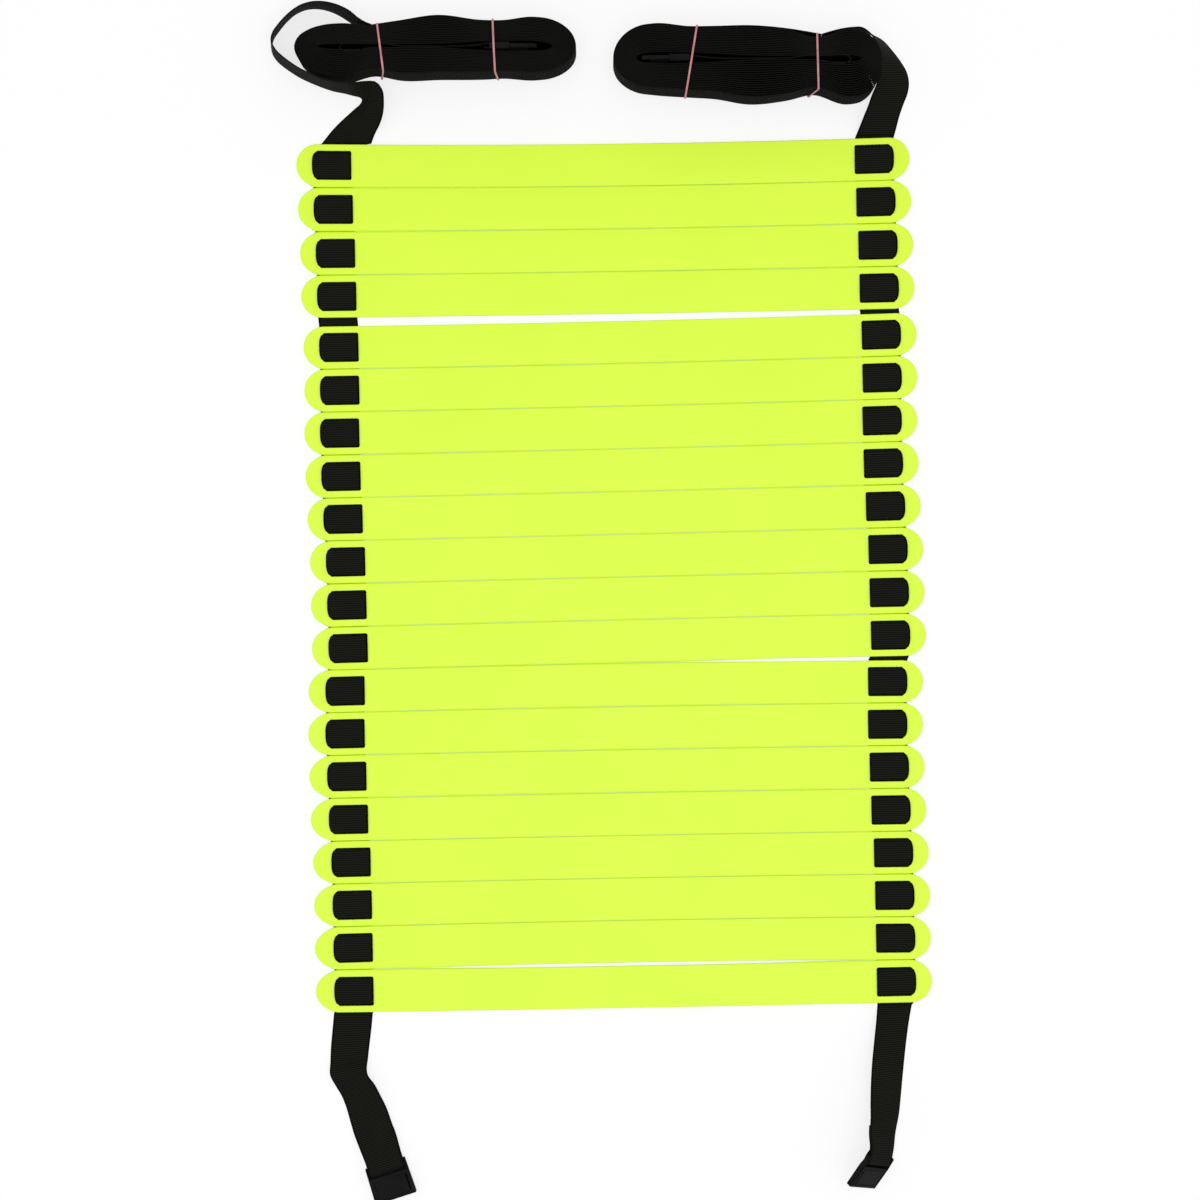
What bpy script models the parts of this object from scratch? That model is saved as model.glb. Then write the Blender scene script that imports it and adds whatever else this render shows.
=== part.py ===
"""Agility ladder lying packed: twenty flat rungs on two webbing straps, the spare webbing wound into two coils.

Metres, +Z up, Y along the straps (the coils at +Y), X along the rungs, resting on z = 0.
"""

import math

import bmesh
import bpy
import numpy as np
from mathutils import Matrix, Vector

# Rungs
rung_count = 20
rung_length = 0.500
rung_width = 0.0343
rung_thickness = 0.0025
rung_edge_chamfer = 0.0005
rung_end_steps = 8
rung_span_steps = 4
strap_from_rung_end = 0.0290
rung_gap = 0.0003

# Slots through a rung, a pair for each strap
slot_width = 0.0030
bridge_width = 0.0177
slot_corner_radius = 0.0009
slot_corner_steps = 1
slot_end_clearance = 0.0008

# Webbing
webbing_width = 0.0320
webbing_thickness = 0.0009
seat_clearance = 0.0003
bridge_crown = 0.0002

# Coils of spare webbing, wound on edge; each table runs over five places along a side
coil_stations = 24
left_coil_turns = 10
left_coil_pinch = 0.0460
left_coil_lobe = 0.0730
left_coil_up = (0.0182, 0.0160, 0.0250, 0.0198, 0.0235)
left_coil_down = (0.0207, 0.0170, 0.0210, 0.0200, 0.0215)
left_coil_core = (0.0015, 0.00135, 0.0014, 0.0038, 0.0040)
left_coil_far_end = (0.0120, 0.0400)
left_coil_near_end = (0.0160, 0.0380)
right_coil_turns = 11
right_coil_pinch = 0.0494
right_coil_lobe = 0.0790
right_coil_up = (0.0225, 0.0178, 0.0261, 0.0236, 0.0276)
right_coil_down = (0.0314, 0.0239, 0.0314, 0.0254, 0.0226)
right_coil_core = (0.0016, 0.00135, 0.0016, 0.0040, 0.0044)
right_coil_far_end = (0.0070, 0.0230)
right_coil_near_end = (0.0120, 0.0326)

# Rubber bands round the coils
band_width = 0.0016
band_thickness = 0.0008
band_corner_radius = 0.0008
band_corner_steps = 2

# Plugs at the coils' centres
plug_width = 0.0360
plug_thickness = 0.0050
plug_rear_in_left_coil = 0.0420
plug_rear_in_right_coil = 0.0508
plug_rail_length = 0.0043
plug_side_wall = 0.0017
plug_bar_radius = 0.0012
plug_bar_from_rear = 0.0016
plug_plate_length = 0.0120
plug_tongue_length = 0.0150
plug_tongue_width = 0.0080
plug_arm_length = 0.0215
plug_arm_width = 0.0036
plug_arm_thickness = 0.0030
plug_barb_width = 0.0022
plug_barb_length = 0.0060
plug_edge = 0.0006

# Sockets at the tails' ends
socket_width = 0.0365
socket_plate_length = 0.0195
socket_thickness = 0.0086
socket_wall = 0.0017
socket_side_wall = 0.0030
socket_slit_width = 0.0016
socket_slit_length = 0.0140
socket_panel_depth = 0.0007
socket_front_rim = 0.0030
socket_rear_rim = 0.0016
socket_bar_radius = 0.0016
socket_rail_length = 0.0110
socket_rail_width = 0.0019
socket_edge = 0.0007

# Turned-back ends of the tails
turn_back_length = 0.0300
tail_lift_length = 0.0450
tail_crease_height = 0.0022

# How the twenty rungs lie: each table is in shares of the rung's width
gap_left_shares = (
    0.038, 0.038, 0.014, 0.202, 0.014, 0.007, 0.019, 0.007, 0.007, 0.019,
    0.017, 0.007, 0.007, 0.007, 0.012, 0.010, 0.007, 0.010, 0.021,
)
gap_right_shares = (
    0.007, 0.017, 0.014, 0.102, 0.014, 0.007, 0.007, 0.012, 0.014, 0.017,
    0.007, 0.093, 0.007, 0.007, 0.012, 0.007, 0.007, 0.007, 0.026,
)
aside_shares = (
    0.07, 0.11, 0.16, 0.19, 0.24, 0.26, 0.26, 0.29, 0.34, 0.40,
    0.43, 0.46, 0.39, 0.39, 0.43, 0.47, 0.53, 0.56, 0.58, 0.60,
)
bow_shares = (
    0.062, 0.045, 0.024, 0.015, 0.029, 0.020, 0.019, 0.012, 0.008, 0.004,
    -0.008, -0.014, -0.029, -0.021, -0.014, -0.010, -0.018, -0.025, -0.033, 0.014,
)
first_left_share = 10.33
first_right_share = 10.48

# Where the straps cross the first and the last rung, as the places of the leads and tails below have it
left_first_crossing_shares = (-6.373, 10.330)
left_last_crossing_shares = (-5.842, -9.299)
right_first_crossing_shares = (6.513, 10.480)
right_last_crossing_shares = (7.042, -9.070)

# Places in the plan, from the layout's middle, and heights: all in shares of the rung's width
left_coil_place_shares = (-3.819, 12.974)
right_coil_place_shares = (3.574, 12.694)
left_coil_end_shares = (-5.337, 13.468)
right_coil_end_shares = (5.190, 13.245)

# Each band's place from its coil's middle, towards the plug: at its far side, at its near side's top and at its foot.
# The bands at the plugs are in shares of the plug's place, and the outer ones in shares of the coil's lobe
left_band_1_shares = (-0.6592, -0.5906, -0.6442)
left_band_2_shares = (1.0641, 1.1115, 1.1450)
right_band_1_shares = (0.8798, 1.0452, 1.0472)
right_band_2_shares = (-0.6547, -0.6699, -0.5974)

# Leads: while the webbing stands on edge, one point; from there low edge x, y and high edge x, y, rise
left_lead_upright_shares = (
    (-5.353, 13.475), (-5.510, 13.525), (-5.685, 13.603), (-5.889, 13.755), (-6.181, 13.924),
    (-6.443, 14.017), (-6.720, 14.052), (-7.012, 13.994), (-7.216, 13.886), (-7.405, 13.720),
    (-7.595, 13.499), (-7.720, 13.312), (-7.761, 13.137), (-7.723, 12.991), (-7.618, 12.854),
    (-7.464, 12.720), (-7.289, 12.595), (-7.085, 12.469), (-6.851, 12.350), (-6.603, 12.239),
    (-6.327, 12.143),
)
left_lead_tipping_shares = (
    (-6.079, 12.076, -6.050, 12.058, 0.933), (-5.845, 12.023, -5.773, 12.000, 0.921),
    (-5.700, 11.980, -5.481, 12.026, 0.904), (-5.644, 11.907, -5.271, 12.041, 0.845),
    (-5.685, 11.808, -5.155, 11.880, 0.764), (-5.802, 11.697, -5.125, 11.676, 0.641),
    (-5.962, 11.554, -5.160, 11.472, 0.466), (-6.137, 11.394, -5.248, 11.268, 0.248),
    (-6.327, 11.195, -5.379, 11.073, 0.058), (-6.574, 10.880, -5.539, 10.898, 0.000),
)
right_lead_upright_shares = (
    (5.207, 13.251), (5.414, 13.315), (5.671, 13.391), (5.933, 13.431),
)
right_lead_tipping_shares = (
    (6.181, 13.417, 6.152, 13.394, 0.933), (6.414, 13.332, 6.327, 13.280, 0.927),
    (6.633, 13.192, 6.481, 13.111, 0.915), (6.851, 13.017, 6.606, 12.895, 0.892),
    (7.055, 12.813, 6.685, 12.653, 0.843), (7.216, 12.580, 6.717, 12.420, 0.773),
    (7.312, 12.327, 6.694, 12.187, 0.685), (7.306, 12.055, 6.612, 11.959, 0.612),
    (7.213, 11.778, 6.466, 11.729, 0.496), (7.120, 11.472, 6.303, 11.423, 0.321),
    (7.050, 11.224, 6.178, 11.184, 0.146), (7.003, 11.055, 6.082, 11.032, 0.000),
)

# Tails: the left one's middle line, lying flat; the right one's low edge x, y, high edge x, y and rise
left_tail_shares = (
    (-5.866, -9.845), (-5.889, -10.236), (-5.933, -10.665), (-5.977, -10.997), (-5.965, -11.283),
    (-5.869, -11.569), (-5.726, -11.878), (-5.586, -12.213), (-5.458, -12.569), (-5.332, -12.927),
    (-5.213, -13.283), (-5.131, -13.534),
)
right_tail_shares = (
    (7.420, -9.636, 6.618, -9.636, 0.000), (7.376, -9.971, 6.583, -9.971, 0.175),
    (7.318, -10.437, 6.548, -10.437, 0.350), (7.259, -10.933, 6.513, -10.933, 0.466),
    (7.201, -11.399, 6.484, -11.399, 0.569), (7.152, -11.837, 6.469, -11.837, 0.627),
    (7.096, -12.216, 6.455, -12.187, 0.671), (7.012, -12.638, 6.414, -12.551, 0.700),
    (6.933, -13.032, 6.321, -12.872, 0.685), (6.837, -13.338, 6.224, -13.134, 0.671),
)
right_socket_droop = 18.0

# Worked out from the sizes above
half_length = rung_length / 2
half_width = rung_width / 2
strap_station = half_length - strap_from_rung_end
rung_bottom = webbing_thickness + seat_clearance
rung_top = rung_bottom + rung_thickness
half_webbing = webbing_thickness / 2
layer_step = webbing_thickness + seat_clearance
coil_base = band_thickness + seat_clearance
coil_top = coil_base + webbing_width
loop_radius_plug = plug_bar_radius + seat_clearance + half_webbing
loop_radius_socket = socket_bar_radius + seat_clearance + half_webbing
slot_centre = (bridge_width + slot_width) / 2
slot_half_length = webbing_width / 2 + slot_end_clearance


def clear_scene():
    for obj in list(bpy.data.objects):
        bpy.data.objects.remove(obj, do_unlink=True)


def material(name, colour, roughness, metallic=0.0):
    made = bpy.data.materials.new(name)
    made.use_nodes = True
    shader = made.node_tree.nodes["Principled BSDF"]
    shader.inputs["Base Color"].default_value = (*colour, 1.0)
    shader.inputs["Roughness"].default_value = roughness
    shader.inputs["Metallic"].default_value = metallic
    return made


def finish(name, bm, skin, smooth_angle=None, origin=None):
    """The mesh as an object, with its origin on the joint's axis where one is given."""
    bmesh.ops.recalc_face_normals(bm, faces=bm.faces)
    if bm.calc_volume(signed=True) < 0:
        bmesh.ops.reverse_faces(bm, faces=bm.faces)
    mesh = bpy.data.meshes.new(name)
    if origin is not None:
        bmesh.ops.translate(bm, verts=bm.verts, vec=-Vector(origin))
    bm.to_mesh(mesh)
    bm.free()
    mesh.materials.append(skin)
    if smooth_angle is not None:
        mesh.shade_smooth()
        mesh.set_sharp_from_angle(angle=smooth_angle)
    obj = bpy.data.objects.new(name, mesh)
    if origin is not None:
        obj.location = origin
    bpy.context.scene.collection.objects.link(obj)
    return obj


def stack_loops(bm, loops):
    """Joins rings of equally many points, one above the next, by quads."""
    rings = [[bm.verts.new(p) for p in loop] for loop in loops]
    for low, high in zip(rings, rings[1:]):
        for i in range(len(low)):
            j = (i + 1) % len(low)
            bm.faces.new((low[i], low[j], high[j], high[i]))
    return rings


def ring_edges(bm, ring):
    found = []
    for i in range(len(ring)):
        pair = (ring[i], ring[(i + 1) % len(ring)])
        found.append(bm.edges.get(pair) or bm.edges.new(pair))
    return found


def rounded_box_outline(half_x, half_y, radius, steps):
    """A rectangle's outline with round corners, anticlockwise."""
    points = []
    for corner in range(4):
        side_x = 1 if corner in (0, 3) else -1
        side_y = 1 if corner in (0, 1) else -1
        for i in range(steps + 1):
            turn = math.radians(90 * corner + 90 * i / steps)
            x = side_x * (half_x - radius) + radius * math.cos(turn)
            y = side_y * (half_y - radius) + radius * math.sin(turn)
            points.append((x, y))
    return points


def strip(bm, stations, thickness, closed=False, keep_length=False):
    """Webbing through stations of (edge point, edge point, normal), as a flat bar."""
    rings = []
    for low, high, normal in stations:
        out = Vector(normal)
        out = (out if keep_length else out.normalized()) * (thickness / 2)
        low, high = Vector(low), Vector(high)
        rings.append([bm.verts.new(p) for p in (low - out, high - out, high + out, low + out)])
    pairs = list(zip(rings, rings[1:]))
    if closed:
        pairs.append((rings[-1], rings[0]))
    for a, b in pairs:
        for i in range(4):
            j = (i + 1) % 4
            bm.faces.new((a[i], a[j], b[j], b[i]))
    if not closed:
        bm.faces.new(rings[0][::-1])
        bm.faces.new(rings[-1])


# Where each rung lies
def rung_places():
    """(centre, turn) of each rung, from the gaps at its two straps."""
    left = first_left_share * rung_width
    right = first_right_share * rung_width
    step = rung_width + rung_gap
    places = []
    for i in range(rung_count):
        turn = math.atan2(right - left, 2 * strap_station)
        centre = Vector((aside_shares[i] * rung_width, (left + right) / 2, 0))
        places.append((centre, turn))
        if i < rung_count - 1:
            left -= step + gap_left_shares[i] * rung_width
            right -= step + gap_right_shares[i] * rung_width
    return places


def bowed(x, y, bow):
    """A rung's outline point, moved by the rung's slight bow: bow * (1 - (x / station)^2)."""
    return x, y - bow * (1 - (x / strap_station) ** 2)


def rung_to_part(place, point):
    centre, turn = place
    x, y, z = point
    return (
        centre.x + x * math.cos(turn) - y * math.sin(turn),
        centre.y + x * math.sin(turn) + y * math.cos(turn),
        z,
    )


def capsule(half_x, radius):
    """A rung's outline: two long sides and two half-round ends, anticlockwise."""
    reach = half_x - radius
    points = []
    for side in (1, -1):
        for i in range(rung_end_steps + 1):
            turn = math.radians(180 * i / rung_end_steps - 90)
            points.append((side * (reach + radius * math.cos(turn)), side * radius * math.sin(turn)))
        for i in range(1, rung_span_steps):
            share = 1 - 2 * i / rung_span_steps
            points.append((side * share * reach, side * radius))
    return points


def make_rung(number, place, skin):
    bow = bow_shares[number] * rung_width
    bm = bmesh.new()

    def lifted(outline, z):
        return [rung_to_part(place, (*bowed(x, y, bow), z)) for x, y in outline]

    outer = capsule(half_length, half_width)
    inner = capsule(half_length - rung_edge_chamfer, half_width - rung_edge_chamfer)
    levels = (
        lifted(inner, rung_bottom),
        lifted(outer, rung_bottom + rung_edge_chamfer),
        lifted(outer, rung_top - rung_edge_chamfer),
        lifted(inner, rung_top),
    )
    rings = stack_loops(bm, levels)
    bottoms, tops = [rings[0]], [rings[-1]]
    hole = rounded_box_outline(slot_half_length, slot_width / 2, slot_corner_radius, slot_corner_steps)
    for side in (-1, 1):
        for row in (-1, 1):
            outline = [(side * strap_station + x, row * slot_centre + y) for x, y in hole[::-1]]
            low, high = stack_loops(bm, (lifted(outline, rung_bottom), lifted(outline, rung_top)))
            bottoms.append(low)
            tops.append(high)
    for group, up in ((bottoms, -1), (tops, 1)):
        edges = [e for ring in group for e in ring_edges(bm, ring)]
        bmesh.ops.triangle_fill(bm, use_beauty=True, use_dissolve=False, edges=edges, normal=(0, 0, up))
    centre = place[0]
    return finish(f"rung_{number + 1:02d}", bm, skin, math.radians(30), (centre.x, centre.y, rung_bottom))


def strap_profile():
    """The strap's way through one rung, as (along the strap, height) from its upper to its lower side."""
    low = half_webbing
    high = rung_top + seat_clearance + half_webbing
    bend = webbing_thickness / 2
    rise = slot_width / 6
    near = slot_centre + rise
    far = slot_centre - rise
    upper = (
        (near + bend, low),
        (near, low + bend),
        (far, high - bend),
        (far - bend, high),
        (0.0, high + bridge_crown),
    )
    return upper + tuple((-y, z) for y, z in upper[-2::-1])


def make_woven_strap(name, side, places, skin, ends):
    """One strap through all rungs; ends are the edge points where the lead and the tail take over."""
    stations = []
    profile = strap_profile()
    half = webbing_width / 2
    for number, place in enumerate(places):
        bow = bow_shares[number] * rung_width
        for y, z in profile:
            edges = []
            for reach in (-half, half):
                x, moved = bowed(side * strap_station + reach, y, bow)
                edges.append(rung_to_part(place, (x, moved, z)))
            stations.append(edges)
    first, last = ends
    lines = [first] + stations + [last]
    made = []
    for i, (low, high) in enumerate(lines):
        before = lines[max(i - 1, 0)]
        after = lines[min(i + 1, len(lines) - 1)]
        along = (Vector(after[0]) + Vector(after[1])) - (Vector(before[0]) + Vector(before[1]))
        across = Vector(high) - Vector(low)
        normal = along.cross(across)
        made.append((low, high, normal if normal.z >= 0 else -normal))
    bm = bmesh.new()
    strip(bm, made, webbing_thickness)
    return finish(name, bm, skin, math.radians(50))


# Coils
def coil_places(pinch, lobe):
    return (-lobe, -pinch, 0.0, pinch, lobe)


def spread_table(table, pinch, lobe, x):
    """A coil's half thickness at x, from its values at the five places along the side."""
    return float(np.interp(x, coil_places(pinch, lobe), table))


def inner_end(coil):
    """The winding's inner end: sewn round the plug's bar, then straight to the first fold."""
    bar = coil["rear"] + plug_bar_from_rear
    r = loop_radius_plug
    round_bar = [
        (bar + r * math.cos(math.radians(turn)), r * math.sin(math.radians(turn))) for turn in (-90, -45, 0, 45, 90)
    ]
    far = -coil["lobe"]
    fold = coil["core"][0] / 2
    return (
        [(bar - 3 * r, -0.80 * r), (bar - 1.5 * r, -0.97 * r)]
        + round_bar
        + [(bar - 2 * r, 0.82 * r), (bar - 6 * r, 0.25 * r), (bar - 11 * r, 0.0)]
        + [(far / 3, 0.0), (far, 0.0), (far - fold, -fold)]
    )


def coil_line(coil):
    """The winding's centre line, from the plug outwards, with the coil's middle at the origin.

    Along the sides y = core(x) + share * (outline(x) - core(x)), where share grows evenly with
    the stations and reaches 1 where the last turn passes; each end is half an ellipse.
    """
    places = coil_places(coil["pinch"], coil["lobe"])
    side_steps = len(places) - 1
    end_steps = (coil_stations - 2 * side_steps) // 2
    far_phase = 2 * side_steps + end_steps
    total = coil["turns"] * coil_stations + far_phase - 1
    points = inner_end(coil)
    lobe = coil["lobe"]
    for n in range(total + 1):
        phase = n % coil_stations
        last = total - (total - phase) % coil_stations
        share = n / last
        near, far = coil["near_end"], coil["far_end"]

        def side_y(k, table):
            core = coil["core"][k]
            return core + share * (table[k] - half_webbing - core)

        if phase < side_steps:
            points.append((places[phase], -side_y(phase, coil["down"])))
        elif phase < side_steps + end_steps:
            turn = math.radians(180 * (phase - side_steps) / end_steps - 90)
            reach = near[0] + share * (near[1] - half_webbing - near[0])
            table = coil["down"] if turn < 0 else coil["up"]
            points.append((lobe + reach * math.cos(turn), side_y(side_steps, table) * math.sin(turn)))
        elif phase < far_phase:
            k = far_phase - phase
            points.append((places[k], side_y(k, coil["up"])))
        else:
            turn = math.radians(180 * (phase - far_phase) / end_steps + 90)
            reach = far[0] + share * (far[1] - half_webbing - far[0])
            table = coil["up"] if math.sin(turn) > 0 else coil["down"]
            points.append((-lobe + reach * math.cos(turn), side_y(0, table) * math.sin(turn)))
    return points


def least_gap(line):
    """The winding's least clear distance to itself, measured between its points and its runs."""
    points = np.array(line)
    starts, ends = points[:-1], points[1:]
    along = np.concatenate([[0.0], np.cumsum(np.linalg.norm(ends - starts, axis=1))])
    apart = 4 * loop_radius_plug
    best = (math.inf, None)
    for i, p in enumerate(points):
        keep = (along[:-1] > along[i] + apart) | (along[1:] < along[i] - apart)
        a, b = starts[keep], ends[keep]
        way = b - a
        share = np.clip(((p - a) * way).sum(1) / (way * way).sum(1), 0, 1)
        away = np.linalg.norm(p - a - share[:, None] * way, axis=1)
        if away.min() < best[0]:
            best = (float(away.min()), p)
    return best[0] - webbing_thickness, best[1]


def edge_stations(line, bases, height):
    """Stations of webbing standing on edge along a plan line; bends keep the thickness."""
    stations = []
    for i, (x, y) in enumerate(line):
        before, after = line[max(i - 1, 0)], line[min(i + 1, len(line) - 1)]
        along = Vector((after[0] - before[0], after[1] - before[1], 0))
        out = along.cross(Vector((0, 0, 1))).normalized()
        if 0 < i < len(line) - 1:
            one = Vector((x - before[0], y - before[1], 0)).normalized()
            across = one.cross(Vector((0, 0, 1)))
            out = out / max(0.7, abs(across.dot(out)))
        stations.append(((x, y, bases[i]), (x, y, bases[i] + height), out))
    return stations


def make_coil(name, coil, skin):
    line = coil_line(coil)
    gap, where = least_gap(line)
    middle, mirror = coil["middle"], coil["mirror"]
    print(f"{name}: least gap to itself {gap * 1000:.2f} mm, at {where[0] * 1000:.1f}, {where[1] * 1000:.1f} mm")
    inner = len(inner_end(coil))
    raised = plug_side_wall + seat_clearance
    bases = [coil_base] * len(line)
    for i in range(inner):
        bases[i] = coil_base + raised * min(1.0, max(0.0, (inner - 3 - i) / 2))
    line = [(middle.x + mirror * x, middle.y + y) for x, y in line]
    line.append(coil["end"])
    bases.append(coil_base)
    bm = bmesh.new()
    strip(bm, edge_stations(line, bases, webbing_width), webbing_thickness, keep_length=True)
    return finish(name, bm, skin, math.radians(50))


# Leads, from a coil to the first rung
def spot(shares):
    return Vector((shares[0] * rung_width, shares[1] * rung_width, 0))


def flatness(rise):
    """1 for webbing lying flat, 0 on edge: the cosine of its tilt."""
    return math.sqrt(max(0.0, 1 - (rise / webbing_width) ** 2))


def lead_stations(upright, tipping, foot, moved):
    """Stations along a lead: on edge first, sinking from the coil's height to the floor, then tipping over.

    Below the coil's foot the lead goes over to the strap, by as much as the strap's crossing has moved.
    """
    rows = [(*row, *row, webbing_width / rung_width) for row in upright] + list(tipping)
    ramp = len(upright)
    last = (rows[-1][1] + rows[-1][3]) / 2 * rung_width
    stations = []
    for i, (low_x, low_y, high_x, high_y, rise) in enumerate(rows):
        share = max(0.0, 1 - i / ramp)
        base = coil_base * share * share * (3 - 2 * share)
        rise = rise * rung_width
        base += half_webbing * flatness(rise)
        below = moved * ease((foot - (low_y + high_y) / 2 * rung_width) / (foot - last))
        low, high = spot((low_x, low_y)) + below, spot((high_x, high_y)) + below
        low.z, high.z = base, base + rise
        stations.append([low, high])
    return with_normals(stations)


def with_normals(stations):
    """Adds each station's normal, all to the same side of the webbing."""
    made = []
    for i, (a, b) in enumerate(stations):
        before, after = stations[max(i - 1, 0)], stations[min(i + 1, len(stations) - 1)]
        along = (after[0] + after[1]) - (before[0] + before[1])
        normal = along.cross(b - a).normalized()
        if made and made[-1][2].dot(normal) < 0:
            normal = -normal
        made.append((a, b, normal))
    return made


def make_lead(name, upright, tipping, foot, moved, skin):
    stations = lead_stations(upright, tipping, foot, moved)
    bm = bmesh.new()
    strip(bm, stations, webbing_thickness)
    finish(name, bm, skin, math.radians(50))
    return stations[-1][0], stations[-1][1]


# Rubber bands
def rounded_polygon(corners, radii, steps):
    """A closed outline with each corner rounded."""
    points = []
    count = len(corners)
    for i, corner in enumerate(corners):
        corner = Vector(corner)
        back = (Vector(corners[i - 1]) - corner).normalized()
        ahead = (Vector(corners[(i + 1) % count]) - corner).normalized()
        half = back.angle(ahead) / 2
        reach = radii[i] / math.tan(half)
        centre = corner + (back + ahead).normalized() * (radii[i] / math.sin(half))
        start, end = corner + back * reach - centre, corner + ahead * reach - centre
        for k in range(steps + 1):
            way = start.lerp(end, k / steps)
            points.append(centre + way.normalized() * radii[i])
    return points


def make_band(name, coil, shares, length, over, skin):
    """A closed loop round a coil; over what stands proud of the coil's middle it rises like a tent."""
    pinch, lobe, middle, mirror = coil["pinch"], coil["lobe"], coil["middle"], coil["mirror"]
    far_x, near_top_x, near_foot_x = (middle.x + mirror * share * length for share in shares)
    clear = seat_clearance + band_thickness / 2

    def reach(table, xs):
        return max(spread_table(table, pinch, lobe, mirror * (x - middle.x)) for x in xs)

    half = band_width / 2
    top = middle.y + reach(coil["up"], (far_x - half, far_x + half)) + clear
    if mirror * (far_x - middle.x) < -pinch:
        top = max(top, coil["end"][1] + half_webbing + clear)
    near_xs = (near_top_x - half, near_top_x + half, near_foot_x - half, near_foot_x + half)
    bottom = middle.y - reach(coil["down"], near_xs) - clear
    low = band_thickness / 2
    high = coil_top + clear
    corners = [(top, low), (top, high), (bottom, high), (bottom, low)]
    radii = [band_corner_radius] * len(corners)
    if over > 0:
        tent = plug_thickness / 2 + seat_clearance
        head = coil_top + over + clear
        corners[2:2] = [(middle.y + tent, head), (middle.y - tent, head)]
        radii = [band_corner_radius] * len(corners)
    outline = rounded_polygon(corners, radii, band_corner_steps)
    stations = []
    count = len(outline)
    for i, (y, z) in enumerate(outline):
        before, after = outline[i - 1], outline[(i + 1) % count]
        along = Vector((0, after[0] - before[0], after[1] - before[1]))
        share = (top - y) / (top - bottom)
        near_x = near_foot_x + (near_top_x - near_foot_x) * min(1.0, z / high)
        centre = Vector((far_x + (near_x - far_x) * share, y, z))
        side = Vector((half, 0, 0))
        stations.append((centre - side, centre + side, along.cross(Vector((1, 0, 0)))))
    bm = bmesh.new()
    strip(bm, stations, band_thickness, closed=True)
    return finish(name, bm, skin, math.radians(40))


# Buckles
def box(bm, low, high):
    made = bmesh.ops.create_cube(bm, size=1.0)
    size = Vector(high) - Vector(low)
    middle = (Vector(high) + Vector(low)) / 2
    bmesh.ops.transform(
        bm, verts=made["verts"], matrix=Matrix.Translation(middle) @ Matrix.Diagonal((*size, 1.0))
    )


def rod(radius, length, axis):
    """A round bar centred at the origin."""
    bm = bmesh.new()
    made = bmesh.ops.create_cone(bm, cap_ends=True, segments=12, radius1=radius, radius2=radius, depth=length)
    if axis == "x":
        bmesh.ops.rotate(bm, verts=made["verts"], cent=(0, 0, 0), matrix=Matrix.Rotation(math.radians(90), 3, "Y"))
    return bm


def solid_from_outline(outline, low, high, axis):
    """An outline in a plane, drawn out along the third axis."""
    bm = bmesh.new()
    loops = []
    for level in (low, high):
        if axis == "y":
            loops.append([(x, level, z) for x, z in outline])
        else:
            loops.append([(x, y, level) for x, y in outline])
    rings = stack_loops(bm, loops)
    bm.faces.new(rings[0][::-1])
    bm.faces.new(rings[-1])
    bmesh.ops.recalc_face_normals(bm, faces=bm.faces)
    return bm


def bevel_all(bm, width, sharper_than=30):
    edges = [e for e in bm.edges if e.is_convex and e.calc_face_angle(0) > math.radians(sharper_than)]
    bmesh.ops.bevel(bm, geom=edges, offset=width, segments=1, affect="EDGES", clamp_overlap=True)


def boolean(target, name, operation, tool):
    tool.hide_render = True
    tool.display_type = "WIRE"
    modifier = target.modifiers.new(name, "BOOLEAN")
    modifier.operation = operation
    modifier.solver = "EXACT"
    modifier.object = tool


def add_object(name, bm, skin=None, matrix=None):
    if matrix is not None:
        bmesh.ops.transform(bm, verts=bm.verts, matrix=matrix)
    bmesh.ops.recalc_face_normals(bm, faces=bm.faces)
    mesh = bpy.data.meshes.new(name)
    bm.to_mesh(mesh)
    bm.free()
    if skin is not None:
        mesh.materials.append(skin)
    obj = bpy.data.objects.new(name, mesh)
    bpy.context.scene.collection.objects.link(obj)
    return obj


def make_plug(name, coil, skin):
    """The plug half of a buckle, on edge in a coil: two rails and a bar behind, tongue and two arms ahead."""
    rear = coil["rear"]
    plate = rear + plug_rail_length
    front = plate + plug_plate_length
    foot = coil_base
    head = foot + plug_width
    half = plug_thickness / 2
    centre_z = (foot + head) / 2
    tongue = plug_tongue_width / 2
    tip = front + plug_tongue_length
    outline = (
        (rear, foot), (front, foot), (front, centre_z - tongue), (tip, centre_z - tongue / 2),
        (tip, centre_z + tongue / 2), (front, centre_z + tongue), (front, head), (rear, head),
        (rear, head - plug_side_wall), (plate, head - plug_side_wall),
        (plate, foot + plug_side_wall), (rear, foot + plug_side_wall),
    )
    bm = solid_from_outline(outline, -half, half, "y")
    bevel_all(bm, plug_edge)
    place = Matrix.Translation(coil["middle"]) @ Matrix.Diagonal((coil["mirror"], 1, 1, 1))
    base = add_object(f"{name}_base", bm, skin, place)
    bar = rod(plug_bar_radius, plug_width - plug_side_wall, "z")
    bar_place = place @ Matrix.Translation((rear + plug_bar_from_rear, 0, centre_z))
    boolean(base, "bar", "UNION", add_object(f"{name}_bar_helper", bar, None, bar_place))
    arm_half = plug_arm_thickness / 2
    pivots = []
    for word, sign, edge in (("upper", 1, head), ("lower", -1, foot)):
        root = front + seat_clearance
        end = root + plug_arm_length
        outer = edge - sign * plug_edge
        inner = outer - sign * plug_arm_width
        barb = end - plug_barb_length
        outline = (
            (root, outer), (barb, outer - sign * plug_barb_width / 2), (barb, outer),
            (end, outer - sign * plug_barb_width), (end, inner - sign * plug_edge),
            (barb, inner - sign * plug_edge), (root, inner),
        )
        bm = solid_from_outline(outline, -arm_half, arm_half, "y")
        bmesh.ops.transform(bm, verts=bm.verts, matrix=place)
        pivot = place @ Vector((root, 0, (outer + inner) / 2))
        finish(f"{name}_{word}_arm", bm, skin, math.radians(30), pivot)
        pivots.append((f"{name}_{word}_arm", pivot))
    return pivots


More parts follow.
